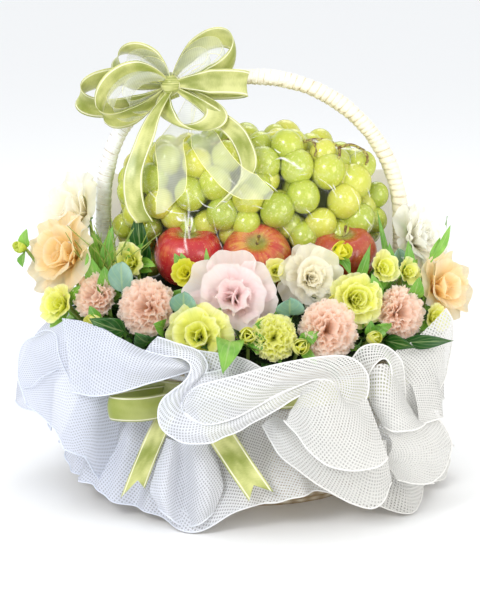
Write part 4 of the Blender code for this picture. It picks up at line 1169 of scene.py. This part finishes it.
# Painted light: the gauze is tinted cool on the left and warmer on the right. Its holes are filled by fine
# fuzz, and more on the left, where the fill is painted glare.
COOL_LIGHT_SIDE, WARM_LIGHT_SIDE = -0.16, 0.08
warm_light_share = gauze.part(gauze.place(), "X").step(COOL_LIGHT_SIDE, WARM_LIGHT_SIDE)
gauze.set("Alpha", threads[0].highest(threads[1]).highest(FUZZ_AND_GLARE_LEFT - warm_light_share * (FUZZ_AND_GLARE_LEFT - FUZZ)))
gauze.set("Base Color", gauze.mix(warm_light_share, "c6cad6", "cbcac6"))
# Painted light: the selvage too is cool on the left and warmer on the right.
selvage = Finish("white_selvage", "e8e8e6", 0.7, Sheen_Weight=0.2)
warm_light_share = selvage.part(selvage.place(), "X").step(COOL_LIGHT_SIDE, WARM_LIGHT_SIDE)
selvage.set("Base Color", selvage.mix(warm_light_share, "d6dcea", "e0dfdb"))
print("threads are", THREAD_PITCH / MM, "mm apart")

# %% Skirt, crest and ruffle
STEPS_ROUND = 300
net = Shape()
hems = Shape()
HEM_RADIUS = 0.85 * MM


def add_hem(line, radius=HEM_RADIUS):
    add_rod(hems, line, radius, 7)


def add_cloth(points, edges=()):
    """Adds a sheet of gauze, and a rolled selvage along the given edges: first or last row."""
    across, along = distances(points, 1), distances(points, 0)
    cos, sin = math.cos(THREAD_SLANT), math.sin(THREAD_SLANT)
    net.grid(points, across * cos + along * sin, along * cos - across * sin)
    for edge in edges:
        add_hem(points[edge])


round_all = np.linspace(0, 360, STEPS_ROUND)
# The ruffle's plain part goes from the right front round the back to the left front
round_back = np.linspace(-49, 209, 230)
for part, degrees, rows, edges in (("skirt", round_all, 22, (-1,)), ("crest", round_all, 8, ()),
                                   ("ruffle", round_back, 20, (-1,))):
    points = np.array([[net_point(part, share, d) for d in degrees] for share in np.linspace(0, 1, rows)])
    add_cloth(points, edges)
add_hem(points[:, -1])
print("net points:", net.total)

# %% Folds at the left front, line by line: (u, v) in the picture and depth in mm
LEFT_FRONT = (
    ((62, 318, -118), (85, 322, -140), (105, 330, -158), (128, 342, -170), (147, 350, -178),
     (166, 356, -182), (182, 359, -185), (190, 366, -187)),
    ((66, 345, -140), (92, 348, -162), (118, 357, -180), (140, 362, -190), (158, 365, -195),
     (172, 366, -195), (184, 367, -192), (190, 369, -189)),
    ((72, 392, -142), (92, 396, -158), (112, 394, -168), (130, 389, -176), (148, 384, -181),
     (164, 379, -184), (179, 375, -187), (190, 371, -188)),
)
OMEGA = (
    ((145, 351, -178), (165, 356, -184), (182, 358, -190), (191, 366, -196), (187, 379, -202),
     (174, 389, -206), (162, 400, -208), (158, 412, -209), (161, 426, -209), (172, 437, -209),
     (187, 443, -208), (207, 443, -207), (228, 436, -205), (252, 424, -203), (275, 410, -201),
     (300, 396, -199), (318, 387, -197)),
    ((151, 343, -180), (172, 348, -186), (191, 354, -190), (201, 364, -196), (196, 378, -204),
     (183, 388, -209), (173, 399, -212), (170, 411, -213), (174, 422, -213), (184, 430, -213),
     (198, 434, -213), (216, 431, -212), (236, 425, -210), (256, 415, -207), (276, 403, -204),
     (299, 390, -201), (317, 383, -198)),
    ((157, 337, -172), (178, 343, -176), (198, 352, -180), (208, 364, -188), (203, 377, -196),
     (192, 387, -202), (184, 397, -205), (182, 407, -206), (187, 416, -207), (196, 422, -207),
     (209, 424, -207), (225, 421, -206), (242, 415, -205), (258, 406, -204), (275, 397, -202),
     (298, 386, -199), (316, 379, -196)),
)
CREST_BEHIND = (
    ((180, 344, -170), (196, 350, -172), (214, 353, -173), (234, 356, -174), (250, 362, -175),
     (266, 371, -176)),
    ((184, 370, -178), (198, 370, -179), (214, 369, -180), (232, 368, -180), (250, 368, -179),
     (266, 372, -177)),
    ((186, 388, -182), (200, 386, -183), (214, 383, -183), (232, 379, -182), (250, 375, -180),
     (266, 373, -178)),
)
BOWL = (
    ((188, 393, -205), (198, 386, -208), (220, 380, -209), (243, 374, -209), (266, 367, -207),
     (295, 361, -204), (320, 357, -201), (342, 356, -197), (358, 362, -193), (368, 375, -190),
     (368, 393, -188), (361, 410, -187)),
    ((185, 402, -209), (199, 402, -213), (222, 399, -215), (245, 393, -215), (270, 384, -212),
     (297, 374, -208), (320, 368, -205), (338, 369, -202), (350, 376, -199), (354, 388, -198),
     (350, 402, -198), (344, 418, -199)),
    ((184, 412, -207), (196, 421, -208), (209, 424, -208), (232, 419, -208), (249, 411, -207),
     (270, 399, -205), (300, 385, -201), (318, 379, -199), (332, 382, -198), (339, 392, -198),
     (338, 406, -200), (331, 420, -203)),
)
ROLL = (
    ((181, 408, -205), (181, 396, -203), (188, 385, -200), (200, 376, -196), (214, 371, -190),
     (228, 368, -184)),
    ((184, 410, -209), (185, 398, -209), (192, 388, -206), (203, 379, -203), (217, 374, -198),
     (231, 371, -190)),
    ((189, 412, -207), (189, 400, -208), (194, 391, -207), (204, 384, -206), (219, 380, -204),
     (234, 375, -196)),
)
print("lines of the S fold:", len(OMEGA))

# %% Folds at the right front
BELL = (
    ((298, 398, -196), (304, 389, -198), (314, 382, -199), (326, 380, -199), (337, 385, -198),
     (342, 396, -196), (354, 402, -192), (367, 398, -188)),
    ((291, 410, -198), (300, 404, -204), (313, 401, -209), (326, 403, -212), (340, 408, -209),
     (352, 414, -205), (364, 417, -198), (375, 418, -190)),
    ((287, 420, -197), (301, 424, -206), (314, 428, -213), (329, 434, -216), (346, 437, -212),
     (360, 440, -207), (373, 441, -199), (382, 439, -190)),
    ((284, 420, -195), (297, 435, -203), (310, 452, -209), (327, 465, -212), (346, 470, -211),
     (364, 470, -208), (379, 466, -200), (388, 458, -190)),
)
RIGHT_BAND = (
    ((352, 358, -172), (361, 348, -173), (374, 344, -172), (388, 347, -168), (399, 358, -163),
     (404, 374, -158), (405, 392, -154), (404, 408, -152)),
    ((360, 366, -178), (368, 356, -179), (378, 351, -179), (388, 354, -176), (394, 364, -172),
     (398, 378, -168), (400, 394, -165), (398, 410, -162)),
    ((368, 376, -176), (372, 368, -178), (379, 360, -178), (386, 359, -176), (391, 367, -174),
     (392, 380, -174), (390, 396, -174), (386, 412, -172)),
)
RIGHT_BELL = (
    ((364, 382, -172), (370, 372, -176), (379, 364, -178), (389, 366, -174), (397, 377, -168),
     (402, 391, -160), (405, 404, -152)),
    ((371, 404, -176), (379, 400, -183), (390, 398, -184), (400, 403, -178), (408, 409, -168),
     (414, 413, -157), (418, 414, -148)),
    ((384, 426, -174), (393, 431, -180), (404, 431, -180), (414, 430, -174), (421, 427, -166),
     (425, 424, -157), (427, 419, -148)),
)
print("lines of the bell:", len(BELL))

# %% Soft folds that hang below and at the sides
LEFT_WING = (
    ((42, 334, -84), (22, 345, -74), (18, 375, -76), (26, 404, -84)),
    ((56, 326, -104), (40, 346, -104), (44, 378, -98), (46, 420, -102)),
    ((64, 321, -118), (62, 346, -130), (56, 380, -128), (58, 434, -120)),
    ((78, 320, -132), (80, 350, -138), (72, 390, -136), (66, 451, -124)),
    ((92, 325, -144), (98, 352, -148), (96, 396, -140), (84, 456, -122)),
    ((106, 330, -153), (111, 360, -152), (106, 408, -126), (95, 474, -110)),
    ((118, 338, -158), (124, 372, -146), (121, 414, -112), (113, 492, -96)),
)
RIGHT_WING = (
    ((394, 352, -154), (396, 370, -156), (398, 392, -154), (406, 414, -148)),
    ((414, 340, -124), (418, 358, -140), (422, 386, -146), (416, 416, -148)),
    ((430, 325, -112), (438, 346, -124), (438, 376, -130), (424, 415, -140)),
    ((446, 308, -96), (453, 324, -100), (451, 350, -106), (443, 382, -114), (431, 408, -130)),
)
RIGHT_LOBE = (
    ((378, 430, -170), (386, 433, -170), (391, 440, -169), (391, 449, -168), (387, 457, -167),
     (382, 463, -166)),
    ((404, 422, -160), (420, 430, -158), (428, 444, -156), (423, 460, -154), (409, 470, -156),
     (392, 472, -160)),
    ((424, 416, -142), (441, 422, -134), (451, 439, -128), (450, 455, -126), (440, 476, -132),
     (422, 484, -142), (397, 480, -154)),
)
LONG_FLAP = (
    ((276, 416, -170), (300, 428, -174), (330, 438, -176), (360, 440, -174), (386, 440, -170)),
    ((268, 420, -176), (292, 446, -184), (318, 462, -188), (346, 472, -186), (370, 474, -182),
     (388, 462, -174)),
    ((262, 425, -174), (280, 455, -178), (305, 475, -182), (330, 492, -182), (351, 503, -178),
     (371, 508, -174), (384, 500, -170), (392, 482, -166)),
)
MIDDLE_FOLD = (
    ((166, 438, -158), (157, 465, -160), (150, 490, -164), (158, 508, -166)),
    ((172, 440, -166), (167, 468, -174), (163, 497, -178), (170, 518, -174)),
    ((183, 442, -154), (182, 470, -154), (182, 500, -158), (184, 526, -164)),
    ((194, 441, -166), (198, 468, -178), (202, 496, -182), (200, 524, -178)),
    ((208, 436, -158), (217, 460, -162), (223, 486, -166), (214, 512, -168)),
)
print("lines of the left wing:", len(LEFT_WING))

# %% The folds as sheets of gauze
# Name, lines, steps along a line, and the rows with a selvage
FOLDS = (
    ("left_wing", LEFT_WING, 70, (0,)), ("right_wing", RIGHT_WING, 60, (-1,)),
    ("right_lobe", RIGHT_LOBE, 70, (-1,)), ("long_flap", LONG_FLAP, 80, (-1,)),
    ("middle_fold", MIDDLE_FOLD, 50, ()), ("left_front", LEFT_FRONT, 70, (-1,)),
    ("crest_behind", CREST_BEHIND, 50, (0,)), ("omega", OMEGA, 150, (0, -1)), ("roll", ROLL, 50, (0,)),
    ("bowl", BOWL, 110, (0, -1)), ("bell", BELL, 80, (-1,)), ("right_band", RIGHT_BAND, 60, (0, -1)),
    ("right_bell", RIGHT_BELL, 50, (-1,)),
)
ENDS_WITH_SELVAGE = ("left_wing", "middle_fold")
FOLD_ROWS = 14


def sheet_between(lines, steps, rows):
    """A smooth sheet through lines that run side by side."""
    columns = np.stack([smooth_line(seen_line(line), steps) for line in lines])
    return np.stack([smooth_line(columns[:, i], rows) for i in range(steps)], axis=1)


for name, lines, steps, edges in FOLDS:
    points = sheet_between(lines, steps, FOLD_ROWS)
    points += surface_normals(points) * ripple(points, 1.6 * MM, 55, len(name))[..., None]
    add_cloth(points, edges)
    if name in ENDS_WITH_SELVAGE:
        add_hem(points[:, -1])
# Painted highlights: thin bright strips of selvage along creases of the left part, where they catch the
# light
NET_CREASE_HIGHLIGHTS = (
    ((36, 334, -92), (46, 330, -106), (56, 335, -122), (58, 352, -132), (64, 368, -137), (73, 384, -141)),
    ((24, 388, -82), (32, 386, -92), (42, 377, -106), (58, 369, -134)),
)
for line in NET_CREASE_HIGHLIGHTS:
    add_hem(smooth_line(seen_line(line), 24), 0.6 * HEM_RADIUS)
gauze_piece = net.make("net_gauze", gauze, "net_white", ["net_wrap"])
hems.make("net_selvage", selvage, "net_white")
print("net with folds:", net.total, "points")

# %% [markdown]
# ## Ribbons
#
# The bow is a satin ribbon with a thin pale line along each edge. Every loop leaves the knot, turns at
# its far end and comes back, so each is a strip along a path, a little hollow across its width. The two
# sheer tails are organza, which is a very fine gauze, and get the same treatment with a fine weave.

# %% Satin and organza
SATIN_WIDTH = 27 * MM
SHEER_WIDTH = 28 * MM
KNOT_RADIUS = 9.7 * MM
KNOT_OUT = 17 * MM


# Satin: painted sheen in bands of light and dark across the ribbon, and a pale line near each edge
SATIN_SHADED, SATIN_LIT = "8d9a34", "dfe096"
satin = Finish("green_satin", SATIN_LIT, 0.30, Sheen_Weight=0.3, Coat_Weight=0.35, Coat_Roughness=0.22)
where = satin.place("UV")
side = (satin.part(where, "X") - 0.5).absolute()
painted_sheen = satin.noise(1.0, 2, satin.stretched(where, (1.2, 26, 1)))
grain = satin.noise(1.0, 2, satin.stretched(where, (8, 900, 1)))
colour = satin.mix((painted_sheen + grain * 0.15 - 0.08).step(0.32, 0.66), SATIN_SHADED, SATIN_LIT)
# Painted shade: a strip's number darkens it, as on the waist loop.
colour = satin.mix(satin.tint(), colour, SATIN_SHADED)
stripe = side.step(0.395, 0.41) * (1 - side.step(0.445, 0.46))
satin.set("Base Color", satin.mix(stripe, colour, "fbf9da"))
satin.bump(grain, 0.12, 0.3 * MM)
satin.glow_through(SATIN_LIT, 0.22)

ORGANZA_PITCH = 1.1
organza = Finish("white_organza", "f2f4ea", 0.5, Sheen_Weight=0.3)
where = organza.place("UV")
side = (organza.part(where, "X") - 0.5).absolute()
threads = (organza.part(where, "Y") * (math.pi / ORGANZA_PITCH / MM)).sine() * 0.03
edge = side.step(0.47, 0.485)
organza.set("Base Color", organza.mix(edge, "f3f6ee", "f0eda6"))
organza.set("Alpha", (organza.noise(40, 2) * 0.34 + 0.10 + threads).highest(edge))
organza.glow_through("f6f8ee", 0.16)
print("ribbon widths in mm:", SATIN_WIDTH / MM, SHEER_WIDTH / MM)


# %% A strip of ribbon
def strip(shape, path, sides, width, taper=None, hollow=0.10, columns=9, cut=0.0, tint=0.0):
    """Adds a ribbon along a path. Sides are the directions across it, and cut is the depth of its V."""
    path, sides = np.asarray(path, float), unit(np.asarray(sides, float))
    along = unit(np.gradient(path, axis=0))
    face = unit(np.cross(along, sides))
    t = np.linspace(-1, 1, columns)[None, :, None]
    half = width / 2 * (np.ones(len(path)) if taper is None else np.asarray(taper))[:, None, None]
    points = path[:, None] + sides[:, None] * t * half + face[:, None] * (t**2 - 0.4) * half * hollow
    if cut:
        near_end = np.linspace(0, 1, len(path))[:, None, None] ** 6
        points = points - along[:, None] * near_end * (1 - np.abs(t)) * cut
    shape.grid(points, along=distances(points, 0), tint=tint)


trial = Shape()
strip(trial, [(0, 0, 0), (0, 0, 0.1)], [(1, 0, 0), (1, 0, 0)], SATIN_WIDTH)
print("points of a short straight ribbon:", trial.total)

# %% The satin bow
# Each loop: far end from the knot, how it opens, and the direction across the ribbon
RING_WIDTH = 9 * MM
LOOPS = (
    ("upper_right", (60, -17, 43), (-9, 0, 12), (-0.10, -0.62, 0.78)),
    ("right", (74, -30, 4), (3, -7, 4), (0.05, -0.35, 0.94)),
    ("lower_right", (32, -24, -38), (20, -3, 6), (0.85, -0.65, -0.15)),
    ("lower_left", (-66, -32, -12), (6, -12, 23), (-0.23, -0.65, 0.60)),
    ("far_left", (-87, -18, -10), (-3, -4, 13), (0.25, -0.60, 0.76)),
    ("upper_left", (-50, -10, 29), (8, -5, 12), (0.30, -0.80, 0.52)),
)
# Each tail: its middle line in mm, and the direction across it at its start and its end
SATIN_TAILS = (
    (((-79, -22, 398), (-94, -34, 376), (-103, -46, 354), (-114, -58, 322), (-112, -64, 293),
      (-103, -66, 277)), (0.9, -0.4, 0.2), (0.92, -0.1, 0.1)),
    (((-72, -22, 398), (-50, -30, 386), (-33, -38, 374), (-12, -58, 357), (-4, -68, 326),
      (-29, -71, 296)), (0.5, -0.5, 0.5), (0.8, -0.1, 0.5)),
)
SHEER_TAILS = (
    (((-57, -3, 393), (-65, -8, 371), (-76, -26, 353), (-80, -41, 347), (-77, -60, 331), (-77, -68, 309),
      (-88, -72, 287)), (0.9, -0.2, 0.1), (0.95, 0.1, 0.2)),
    (((-53, -3, 394), (-51, -9, 371), (-48, -25, 354), (-43, -52, 349), (-33, -68, 337), (-14, -82, 320),
      (18, -86, 307)), (0.9, 0.0, 0.1), (0.45, 0.0, 0.9)),
)
SATIN_SHARE, SHEER_SHARE = 0.412, 0.45
knot = handle_point(SATIN_SHARE) + np.array((0, -KNOT_OUT, 6 * MM))
print("knot at, mm:", (knot / MM).round())


# %% Loops, tails and bands
def add_loop(shape, far, opening, side, width):
    far, opening, side = (np.array(v, float) for v in (far, opening, side))
    turn = np.linspace(0, 2 * np.pi, 56)[:, None]
    reach = (1 - np.cos(turn)) / 2
    open_up = np.sin(turn) * reach**0.35 * 1.25 + 0.12 * np.cos(turn / 2)
    path = knot + far * MM * (0.04 + 0.96 * reach) + opening * MM * open_up
    taper = 0.30 + 0.70 * np.minimum(1.0, reach[:, 0] * 2.2)
    strip(shape, path, np.broadcast_to(side, path.shape), width, taper, hollow=0.16)


def add_tail(shape, points, side_from, side_to, width, end):
    path = smooth_line(metres(points), 44)
    share = np.linspace(0, 1, 44)[:, None]
    sides = (1 - share) * np.array(side_from) + share * np.array(side_to)
    taper = np.minimum(1.0, 0.35 + 1.8 * share[:, 0])
    taper = taper * (1 - (1 - end) * np.clip((share[:, 0] - 0.86) / 0.14, 0, 1))
    strip(shape, path, sides, width, taper)


def add_ring(shape, share):
    """A turn of ribbon round the handle."""
    here = handle_point(share)
    along = unit(handle_point(share + 0.01) - handle_point(share - 0.01))
    path = here + along * np.linspace(-RING_WIDTH / 2, RING_WIDTH / 2, 6)[:, None]
    shape.grid(tube_points(path, HANDLE_RADIUS * 1.12 + 2.2 * MM, 24), ring=True)


RIBBON_THICKNESS = 0.5 * MM
bow = Shape()
for name, far, opening, side in LOOPS:
    add_loop(bow, far, opening, side, SATIN_WIDTH)
for points, side_from, side_to in SATIN_TAILS:
    add_tail(bow, points, side_from, side_to, 0.72 * SATIN_WIDTH, 0.9)
add_ring(bow, SATIN_SHARE)
knot_points = ball(np.zeros(3), KNOT_RADIUS, 1.1, steps=(16, 24))
knot_points += surface_normals(knot_points) * ripple(knot_points, 2.0 * MM, 160)[..., None]
bow.grid(knot_points + knot, ring=True)
bow_piece = bow.make("bow_satin", satin, "satin_green", ["satin_bow"], solid=RIBBON_THICKNESS)
print("bow loops:", len(LOOPS))

# %% The sheer ribbon
SHEER_LOOPS = ("upper_right", "lower_left", "upper_left")
SHEER_LOOP_SIZES = (0.84, 0.62)
sheer = Shape()
for name, far, opening, side in LOOPS:
    for size in SHEER_LOOP_SIZES if name in SHEER_LOOPS else ():
        add_loop(sheer, np.array(far) * size, np.array(opening) * size, side, SATIN_WIDTH * 0.9)
for points, side_from, side_to in SHEER_TAILS:
    add_tail(sheer, points, side_from, side_to, SHEER_WIDTH, 0.3)
add_ring(sheer, SHEER_SHARE)
sheer_piece = sheer.make("tails_organza", organza, "organza_white", ["sheer_ribbon"])
print("sheer strips:", len(sheer.points))

# %% The ribbon round the waist
WAIST_TAILS = (
    ((-70, -130, 121), (-84, -146, 104), (-100, -152, 69), (-113, -158, 36)),
    ((-42, -138, 120), (-34, -158, 101), (-13, -172, 70), (8, -182, 41)),
)
WAIST_LOOP = (
    (-55, -133.2, 121), (-98, -162, 120), (-126, -163, 120), (-134, -153, 120), (-112, -136, 120),
    (-84, -121.6, 120),
)
BAND_OUT, BAND_HEIGHT, BAND_WIDTH = 4.6 * MM, 125 * MM, 23 * MM
TAIL_CUT = 13 * MM
# How dark the waist loop is painted: painted shade
LOOP_SHADE = 0.7
ACROSS, UP = np.array((1.0, 0, 0.4)), np.array((0, 0, 1.0))
turns = np.linspace(0, 2 * np.pi, 121)
band_x, band_y = (NET_HALF_WIDTH + BAND_OUT) * np.cos(turns), (NET_HALF_DEPTH + BAND_OUT) * np.sin(turns)
band = np.stack([band_x, band_y, np.full(121, BAND_HEIGHT)], axis=1)
waist = Shape()
strip(waist, band, np.broadcast_to(UP, band.shape), BAND_WIDTH)
for points in WAIST_TAILS:
    path = smooth_line(metres(points), 30)
    strip(waist, path, np.broadcast_to(ACROSS, path.shape), SATIN_WIDTH * 0.92, cut=TAIL_CUT)
path = smooth_line(metres(WAIST_LOOP), 50)
strip(waist, path, np.broadcast_to(UP, path.shape), SATIN_WIDTH * 0.9, hollow=0.2, tint=LOOP_SHADE)
waist_piece = waist.make("waist_satin", satin, "satin_green", ["waist_ribbon"], solid=RIBBON_THICKNESS)
print("waist ribbon made")

# %% [markdown]
# ## Liner and film
#
# Behind the fruit stands an ivory cloth. Over the fruit lies a clear film, which shows only where it creases
# and catches the light, so it is nearly all transparent, and its highlights on the creases and over the
# apple are painted as thin white strips.

# %% Liner
LINER_HALF_WIDTH = 142 * MM
LINER_HALF_DEPTH = 106 * MM
LINER_START = 12
LINER_WIDTH = 120 * MM
LINER_TOP = 304 * MM
rows = []
for rise in np.linspace(0, 1, 12):
    row = []
    for angle in np.radians(np.linspace(LINER_START, 180 - LINER_START, 110)):
        fold = 2.5 * MM * math.sin(9 * angle) * (0.3 + rise)
        top = LINER_TOP + 4 * MM * math.sin(2.0 * angle + 0.6) + 3 * MM * math.sin(7 * angle)
        flare = fold + 6 * MM * rise + 0.8 * MM * math.sin(31 * angle + 4 * rise)
        x, y = (LINER_HALF_WIDTH + flare) * math.cos(angle), (LINER_HALF_DEPTH + flare) * math.sin(angle)
        foot = bed_height(x, y)
        row.append((x, y, foot + (top - foot) * rise))
    rows.append(row)
points = np.array(rows)
liner = Shape()
liner.grid(points, distances(points, 1), distances(points, 0))
LINEN_PITCH = 1.1 * MM
linen = Finish("ivory_linen", "ebe2d6", 0.9, Sheen_Weight=0.2)
where = linen.place("UV")
weft, warp = (((linen.part(where, axis) / LINEN_PITCH) * math.pi).sine() for axis in ("X", "Y"))
blot = linen.noise(30, 3)
linen.set("Base Color", linen.mix(blot.step(0.3, 0.75), "e6dccd", "f6f0e4"))
linen.bump(weft + warp, 0.15, 0.4 * MM)
linen.glow_through("f8f2e8", 0.5)
liner_piece = liner.make("liner_cloth", linen, "liner_cloth", ["liner"])
print("liner points:", liner.total)

# %% Film over the fruit
film = Finish("clear_film", "ffffff", 0.06, Specular_IOR_Level=0.6)
wrinkle = film.noise(26, 3)
# Painted highlights: the white film is less clear along the ridges of its wrinkles.
highlight_ridge = 1 - (wrinkle - 0.5).absolute().step(0.0, 0.035)
film.bump(wrinkle, 0.6, 6 * MM)
film.set("Alpha", 0.010 + highlight_ridge * highlight_ridge * 0.05)
xs, zs = np.linspace(-118, 122, 60) * MM, np.linspace(222, 352, 36) * MM
points = np.array([[(x, HEAP_MIDDLE[1] - 17 * MM - heap_front(x, z, 0), z) for x in xs] for z in zs])
points[..., 1] += ripple(points, 6 * MM, 28, 3)
shape = Shape()
shape.grid(points)
shape.make("fruit_film", film)
print("film made")

# %% Painted highlights on the film's creases, and glints, where they show in the picture
CREASE_HIGHLIGHTS = (
    ((238, 146), (252, 138), (268, 133), (282, 131)),
    ((300, 136), (316, 141), (332, 147), (350, 149), (364, 151)),
    ((266, 170), (272, 162), (281, 158), (292, 163), (304, 171)), ((262, 180), (270, 185), (278, 192)),
    ((304, 208), (309, 212), (313, 218)), ((186, 188), (189, 206), (188, 226), (191, 248)),
    ((160, 206), (172, 212), (186, 214)), ((213, 218), (217, 234), (223, 250)),
    ((226, 176), (238, 188), (244, 202)), ((318, 178), (330, 186), (338, 199)),
    ((350, 186), (358, 200), (360, 216)), ((150, 222), (156, 236), (158, 250)),
    ((196, 196), (204, 205), (216, 209)), ((282, 226), (290, 236), (294, 246)),
)
HIGHLIGHT_WIDTH = 5.8 * MM
GLINTS = 34
# Painted highlights where the film crosses the left apple
APPLE_HIGHLIGHTS = (
    ((184, 212), (186, 226), (185, 240), (188, 256)), ((190, 214), (192, 222), (190, 232)),
    ((176, 216), (180, 220), (186, 221)),
)
APPLE_FILM = -86.0
rng = random.Random(5)
small = []
for i in range(GLINTS):
    u, v = rng.uniform(150, 372), rng.uniform(150, 232)
    turn, long, bend = rng.uniform(0, 3.14), rng.uniform(3, 7), rng.uniform(-2, 2)
    reach_u, reach_v = long * math.cos(turn), long * math.sin(turn)
    small.append(((u - reach_u, v - reach_v), (u + bend, v + bend), (u + reach_u, v + reach_v)))
glint = Finish("film_glint", "ffffff", 0.15)
where = glint.place("UV")
side = (glint.part(where, "X") - 0.5).absolute() * 2
end = (glint.part(where, "Y") - 0.5).absolute() * 2
glint.set("Alpha", (1 - side) ** 2 * (1 - end**3) * glint.noise(120, 2).step(0.2, 0.7) * 0.85)
FILM_OUT = 22
HIGHLIGHT_SIDE = np.tile((0.75, 0.0, 0.65), (16, 1))


def film_depth(u, v):
    """Depth of the film over the grapes, in mm, where it shows at a place in the picture."""
    spot = seen(u, v, -60)
    return (HEAP_MIDDLE[1] - heap_front(spot[0], spot[2], 0)) / MM - FILM_OUT


shape = Shape()
lines = [([seen(u, v, film_depth(u, v)) for u, v in places], 1.0 if len(places) > 3 else 0.4)
         for places in (*CREASE_HIGHLIGHTS, *small)]
lines += [([seen(u, v, APPLE_FILM) for u, v in places], 1.0) for places in APPLE_HIGHLIGHTS]
for line, share in lines:
    strip(shape, smooth_line(line, 16), HIGHLIGHT_SIDE, share * HIGHLIGHT_WIDTH, hollow=0.0, columns=5)
for k, spots in enumerate(shape.maps):
    spots = spots / np.array((1, max(np.ptp(spots[:, 1]), 1e-6)))
    shape.maps[k] = spots - np.array((0, spots[:, 1].min()))
shape.make("film_highlights", glint)
print("creases and glints:", len(lines))

# %% [markdown]
# ## Cloth sizes
#
# The flat size of every free sheet of cloth, as it was before it was gathered, hung or tied, is worked out
# from its area and printed.


def flat_size(shape, widest):
    """Width, and length, of one strip with the same area as the piece."""
    area = 0.0
    for points, faces in zip(shape.points, shape.faces):
        a, b, c, d = points[faces - faces.min()].transpose(1, 0, 2)
        area += np.linalg.norm(np.cross(c - a, d - b), axis=1).sum() / 2
    return widest, area / widest


NET_WIDTH = 0.30
for piece, shape_made, width, held, rests in (
    (gauze_piece, net, NET_WIDTH, "gathered", ["waist_satin"]),
    (bow_piece, bow, SATIN_WIDTH, "folded", ["wrapped_handle"]),
    (sheer_piece, sheer, SHEER_WIDTH, "hung", ["wrapped_handle"]),
    (waist_piece, waist, SATIN_WIDTH, "gathered", ["net_gauze"]),
    (liner_piece, liner, LINER_WIDTH, "hung", ["grape_bunches"]),
):
    flat = flat_size(shape_made, width)
    print(piece.name, "flat", [round(x, 3) for x in flat])

# %% [markdown]
# ## Light and floor
#
# The photo is taken in bright, even light, cool from the left and warmer from the right. A white sky
# gives most of it. Three lamps add soft shadows and the highlights on the fruit.

# %% Floor, sky and lamps
FLOOR_HALF = 6
floor_mesh = bpy.data.meshes.new("floor")
corners = [(FLOOR_HALF * x, FLOOR_HALF * y, 0) for x, y in ((-1, -1), (1, -1), (1, 1), (-1, 1))]
floor_mesh.from_pydata(corners, [], [(0, 1, 2, 3)])
floor = bpy.data.objects.new("floor", floor_mesh)
floor_finish = Finish("pale_floor", "fafafa", 0.9)
floor_mesh.materials.append(floor_finish.material)
bpy.context.scene.collection.objects.link(floor)

world = bpy.data.worlds.new("sky")
world.use_nodes = True
sky = world.node_tree.nodes["Background"].inputs
sky["Color"].default_value = (0.96, 0.98, 1.0, 1.0)
sky["Strength"].default_value = 0.97
bpy.context.scene.world = world
bpy.context.scene.view_settings.view_transform = "Standard"


def lamp(name, place, size, power, colour):
    data = bpy.data.lights.new(name, "AREA")
    data.size = size
    data.energy = power
    data.color = colour
    obj = bpy.data.objects.new(name, data)
    obj.location = place
    obj.rotation_euler = (TARGET - Vector(place)).to_track_quat("-Z", "Y").to_euler()
    bpy.context.scene.collection.objects.link(obj)


lamp("key_left", (-0.9, -1.5, 1.3), 0.6, 18, (0.98, 0.985, 1.0))
lamp("fill_right", (1.2, -1.3, 0.7), 0.8, 10, (1.0, 0.96, 0.90))
lamp("top_back", (0.2, 0.9, 1.5), 0.8, 5, (1.0, 1.0, 1.0))
print("lights:", [light.name for light in bpy.data.lights])

# %% [markdown]
# ## Finish

# %% Finish
bpy.context.view_layer.update()
